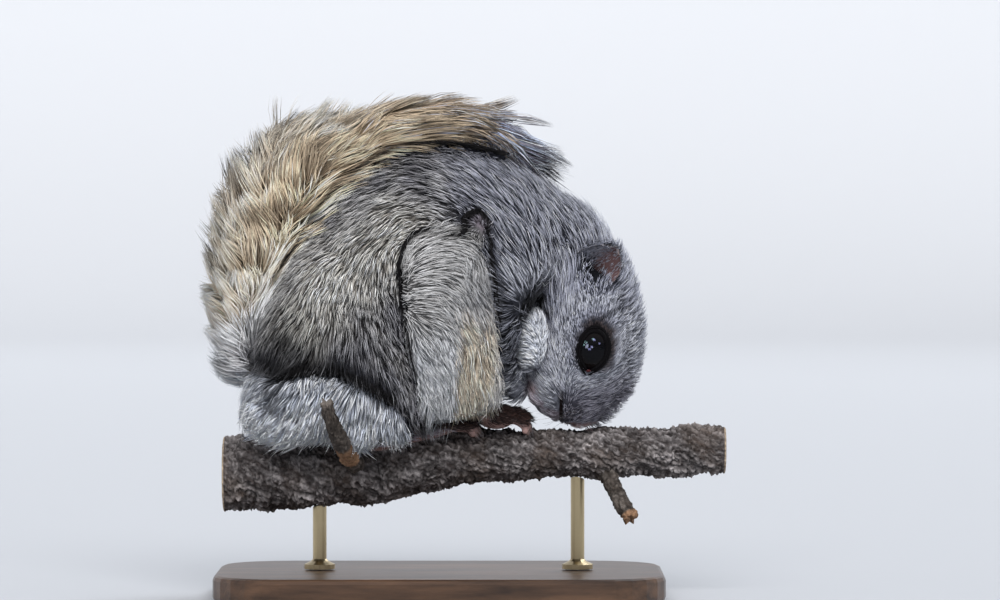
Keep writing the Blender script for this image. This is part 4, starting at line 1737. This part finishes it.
# %% [markdown]
# ## The branch
# Old pine bark is a crust of long flakes, each lifted at its edges over a darker crack. The
# branch is one fine grid round the middle line of its solid, and the flakes come from a jittered
# pattern of cells: a plate is high where a point is well inside its cell and drops at the border.

# %% Bark relief
BRANCH = ((-50.0, 28.2, 8.6), (-34.0, 28.8, 8.5), (-9.0, 30.6, 7.7), (4.0, 32.2, 6.5),
          (28.0, 33.1, 5.6), (49.0, 33.4, 5.7), (66.0, 34.0, 5.5))
KNOTS = ((-15.0, 0.7, 5.0), (22.0, 0.5, 2.5), (38.0, 0.8, 3.0), (55.0, 0.4, 3.0))


def plates(a, b, seed, wrap):
    """Jittered cells over (a, b), b wrapping at a whole number: the two nearest gaps, and a height."""
    rng = np.random.default_rng(seed)
    shift = rng.uniform(0, 1, (512, wrap, 3))
    cell_a, cell_b = np.floor(a).astype(int), np.floor(b).astype(int)
    first, second, height = np.full(a.shape, 9.0), np.full(a.shape, 9.0), np.zeros(a.shape)
    for da in (-1, 0, 1):
        for db in (-1, 0, 1):
            key = shift[(cell_a + da) % 512, (cell_b + db) % wrap]
            gap = np.hypot(cell_a + da + key[..., 0] - a, cell_b + db + key[..., 1] - b)
            closer = gap < first
            second = np.where(closer, first, np.minimum(second, gap))
            height = np.where(closer, key[..., 2], height)
            first = np.where(closer, gap, first)
    return first, second, height


def bark(points, x, turn, size, flake=5.5, rounds=14):
    """Height in mm and a paint triple for bark at places along x and round the branch."""
    warp = 0.45 * ripple(points, 7.0, 81) + 0.3 * ripple(points, 2.4, 82)
    around = turn / (2 * np.pi) * rounds
    inside, outside, lift = plates(x / flake + warp, around + 0.6 * warp, 83, rounds)
    edge = between(outside - inside, 0.0, 0.45)
    small_in, small_out, small = plates(x / 1.3 + 2 * warp, around * 3 + warp, 84, rounds * 3)
    crumb = between(small_out - small_in, 0.0, 0.5)
    height = size * (0.60 * edge * (0.2 + lift) + 0.42 * crumb * (0.2 + small)
                     + 0.16 * ripple(points, 1.0, 85) + 0.20 * ripple(points, 3.5, 87) - 0.6)
    tone = 0.05 + 0.45 * lift**2 + 0.55 * small**2 + 0.18 * ripple(points, 1.6, 88)
    return height, (0.35 + 0.65 * edge) * (0.5 + 0.5 * crumb), np.clip(tone, 0, 1)


BARK_SIDES, END_RINGS = 150, 7
x_line = np.linspace(-50.0, 66.0, 470)
line = at_rows(BRANCH, np.interp(x_line, [row[0] for row in BRANCH], np.arange(len(BRANCH))))
radius = line[:, 2].copy()
for knot, swell, spread in KNOTS:
    radius += swell * np.exp(-((x_line - knot) / spread) ** 2)
turn = turns(BARK_SIDES)
uneven = 1 + 0.035 * np.sin(3 * turn[None, :] + 0.35 * x_line[:, None]) + 0.02 * np.sin(0.9 * x_line)[:, None]
smooth_round = radius[:, None] * uneven


def branch_points(r):
    """The branch's grid for a radius at each place along and round it."""
    return np.stack([np.repeat(x_line[:, None], BARK_SIDES, axis=1), r * np.cos(turn),
                     line[:, 1:2] + r * np.sin(turn)], axis=2)


def bark_colours(top_of, tone, crack, dull, bright):
    """From the cracks' colour to the plates', which runs from dull to bright with the tone."""
    return blend(crack, blend(dull, bright, tone), top_of)


spread_x, spread_turn = np.repeat(x_line, BARK_SIDES), np.tile(turn, len(x_line))
relief, top_of, tone = bark(branch_points(smooth_round).reshape(-1, 3), spread_x, spread_turn, 1.0)
# The bark sinks where the lower twig leaves it.
relief -= 0.9 * np.exp(-((spread_x - 22.3 - 0.6 * np.sin(spread_turn)) / 0.9) ** 2)
relief -= 1.6 * np.exp(-((spread_x - 22.6) / 1.1) ** 2 - ((spread_turn - 4.15) / 0.16) ** 2)
grid = branch_points(smooth_round + relief.reshape(smooth_round.shape))


def end_rings(ring, x_shift):
    """Rings of a sawn end, shrinking to its middle, the rim rounded and the growth rings a little proud."""
    middle = ring.mean(axis=0)
    return np.array([middle + (ring - middle) * share + np.array((x_shift * out, 0, 0)) for share, out in zip(
        (0.999, 0.97, 0.9, 0.7, 0.5, 0.3, 0.12), (0.2, 0.6, 0.9, 1.0, 0.95, 1.0, 0.97))])


def with_ends(values, at_ends):
    """Values of the bark's points with one more value for all points of the sawn ends, in a column."""
    ends = np.full(END_RINGS * BARK_SIDES, at_ends)
    return np.concatenate([ends, values, ends, (at_ends, at_ends)])[:, None]


points, quads, tris = closed(np.concatenate([end_rings(grid[0], -0.5)[::-1], grid, end_rings(grid[-1], 0.5)]))
wood, top_all, tone_all = with_ends(np.zeros(len(tone)), 1.0), with_ends(top_of, 1.0), with_ends(tone, 0.5)
worn = 0.35 * between(ripple(points, 14.0, 86), -0.2, 0.9)[:, None]
bark_colour = bark_colours(top_all, tone_all, (0.014, 0.011, 0.011), (0.070, 0.058, 0.054),
                           (0.42, 0.385, 0.375))
bark_colour = bark_colour * (1 - worn) + np.array((0.12, 0.085, 0.062)) * worn * (0.3 + 0.7 * top_all)
from_pith = np.hypot(points[:, 1], points[:, 2] - np.interp(points[:, 0], x_line, line[:, 1]))
sawn = np.array((0.36, 0.28, 0.20)) * (1 + 0.22 * np.sin(from_pith * 5.2))[:, None]
piece("branch_bark", (points, quads, tris), blend(bark_colour, sawn, wood), PINE_BARK, "bark", "perch_branch")
print("branch", len(points), "points")


# %% Snapped twigs
TWIG_RINGS, TWIG_SIDES = 70, 40


def twig(name, path, radii, seed, snapped):
    """A dead side twig: a bark tube with a ragged, paler end where it broke."""
    rows = through(np.column_stack([np.asarray(path, float), radii]), TWIG_RINGS)
    middle, r = rows[:, None, :3], rows[:, 3:]
    ahead, ways = along_path(rows[:, :3], TWIG_SIDES)
    angle, run = turns(TWIG_SIDES), run_along(rows[:, :3])
    smooth = (middle + r[..., None] * ways).reshape(-1, 3)
    relief, top_of, tone = bark(smooth + seed, np.repeat(run, TWIG_SIDES) + seed,
                                np.tile(angle, TWIG_RINGS), 0.55, 2.6, 5)
    grid = middle + (r + relief.reshape(TWIG_RINGS, TWIG_SIDES) + 0.2)[..., None] * ways
    grid[-1] += ahead[-1] * (0.5 * np.sin(3 * angle + seed) + 0.35 * np.sin(7 * angle))[:, None]
    end_middle = grid[-1].mean(0)
    end = [end_middle + (grid[-1] - end_middle) * s + ahead[-1] * (0.25 * (1 - s)) for s in (0.8, 0.45)]
    shape = closed(np.concatenate([grid, end]))
    n_end = 2 * TWIG_SIDES + 2
    top_of, tone = (np.concatenate([a, np.full(n_end, 0.8)])[:, None] for a in (top_of, tone))
    colour = bark_colours(top_of, tone, (0.022, 0.018, 0.015), (0.075, 0.060, 0.050), (0.19, 0.165, 0.145))
    along = np.concatenate([np.repeat(run, TWIG_SIDES), np.full(n_end, run[-1])])
    bare = 0.8 * (between(along, *snapped[:2]) * between(along, *snapped[2:]))[:, None]
    return piece(name, shape, blend(colour, (0.30, 0.17, 0.095), bare), PINE_BARK, "bark")


twig("front_twig", ((-19.0, -3.0, 30.5), (-20.6, -17.0, 33.0), (-23.2, -27.0, 39.0), (-25.6, -30.6, 46.0)),
     (2.2, 1.9, 1.7, 1.3), 3.0, (12.5, 14.5, 21.5, 20.0))
twig("lower_twig", ((38.0, -1.0, 31.0), (40.0, -5.0, 26.0), (42.5, -8.0, 21.5), (44.2, -9.5, 18.4)),
     (2.3, 1.9, 1.8, 1.6), 5.0, (14.6, 15.2, 99, 98))

# %% [markdown]
# ## The stand
# The base and rods are plain joinery that isn't in the picture: a dark oiled board and turned
# brass. Their solids have the right shape, so they stay and only take a better finish.

# %% Wood and brass
def stretched_noise(nodes, links, scale, **values):
    """Noise on Object coordinates stretched by scale, and the node that stretches them."""
    place, stretch = nodes.new("ShaderNodeTexCoord"), node(nodes, "ShaderNodeMapping", Scale=scale)
    noise = node(nodes, "ShaderNodeTexNoise", **values)
    wired(links, (place, "Object", stretch, "Vector"), (stretch, "Vector", noise, "Vector"))
    return noise, stretch


def wood_material():
    """Growth rings as a stretched noise, dark lines in a brown board, satin."""
    made, nodes, links, shader = new_material("oiled_walnut", 0.42, Coat_Weight=0.15, Coat_Roughness=0.3)
    rings, stretch = stretched_noise(nodes, links, (9.0, 75.0, 75.0), Scale=3.0, Detail=6.0, Roughness=0.65)
    pores = node(nodes, "ShaderNodeTexNoise", Scale=26.0, Detail=3.0)
    colour = nodes.new("ShaderNodeValToRGB")
    stops = colour.color_ramp.elements
    stops[0].position, stops[0].color = 0.34, (0.030, 0.016, 0.009, 1)
    stops[1].position, stops[1].color = 0.66, (0.115, 0.060, 0.032, 1)
    raised = node(nodes, "ShaderNodeBump", Strength=0.25, Distance=0.0003)
    wired(links, (stretch, "Vector", pores, "Vector"), (rings, "Fac", colour, "Fac"),
          (colour, "Color", shader, "Base Color"), (pores, "Fac", raised, "Height"),
          (raised, "Normal", shader, "Normal"))
    return made


def brass_material():
    """Turned brass: a warm metal with fine rings of wear in its roughness."""
    made, nodes, links, shader = new_material("turned_brass", 0.28, Metallic=1.0)
    shader.inputs["Base Color"].default_value = (0.56, 0.45, 0.27, 1)
    turned, _ = stretched_noise(nodes, links, (60.0, 60.0, 2500.0), Scale=1.0, Detail=2.0)
    level = nodes.new("ShaderNodeMapRange")
    level.inputs["To Min"].default_value, level.inputs["To Max"].default_value = 0.22, 0.42
    wired(links, (turned, "Fac", level, "Value"), (level, "Result", shader, "Roughness"))
    return made


WALNUT, BRASS = wood_material(), brass_material()
for node_name, finish in (("stand_base", WALNUT), ("stand_rod_1", BRASS), ("stand_rod_2", BRASS)):
    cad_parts[node_name].material_slots[0].material = finish
print("stand finished")

# %% Write the sizes
low, high = (list(corner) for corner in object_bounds())
meshes = [made.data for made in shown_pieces() if made.type == "MESH"]
print("triangles", sum(len(mesh.loops) - 2 * len(mesh.polygons) for mesh in meshes))
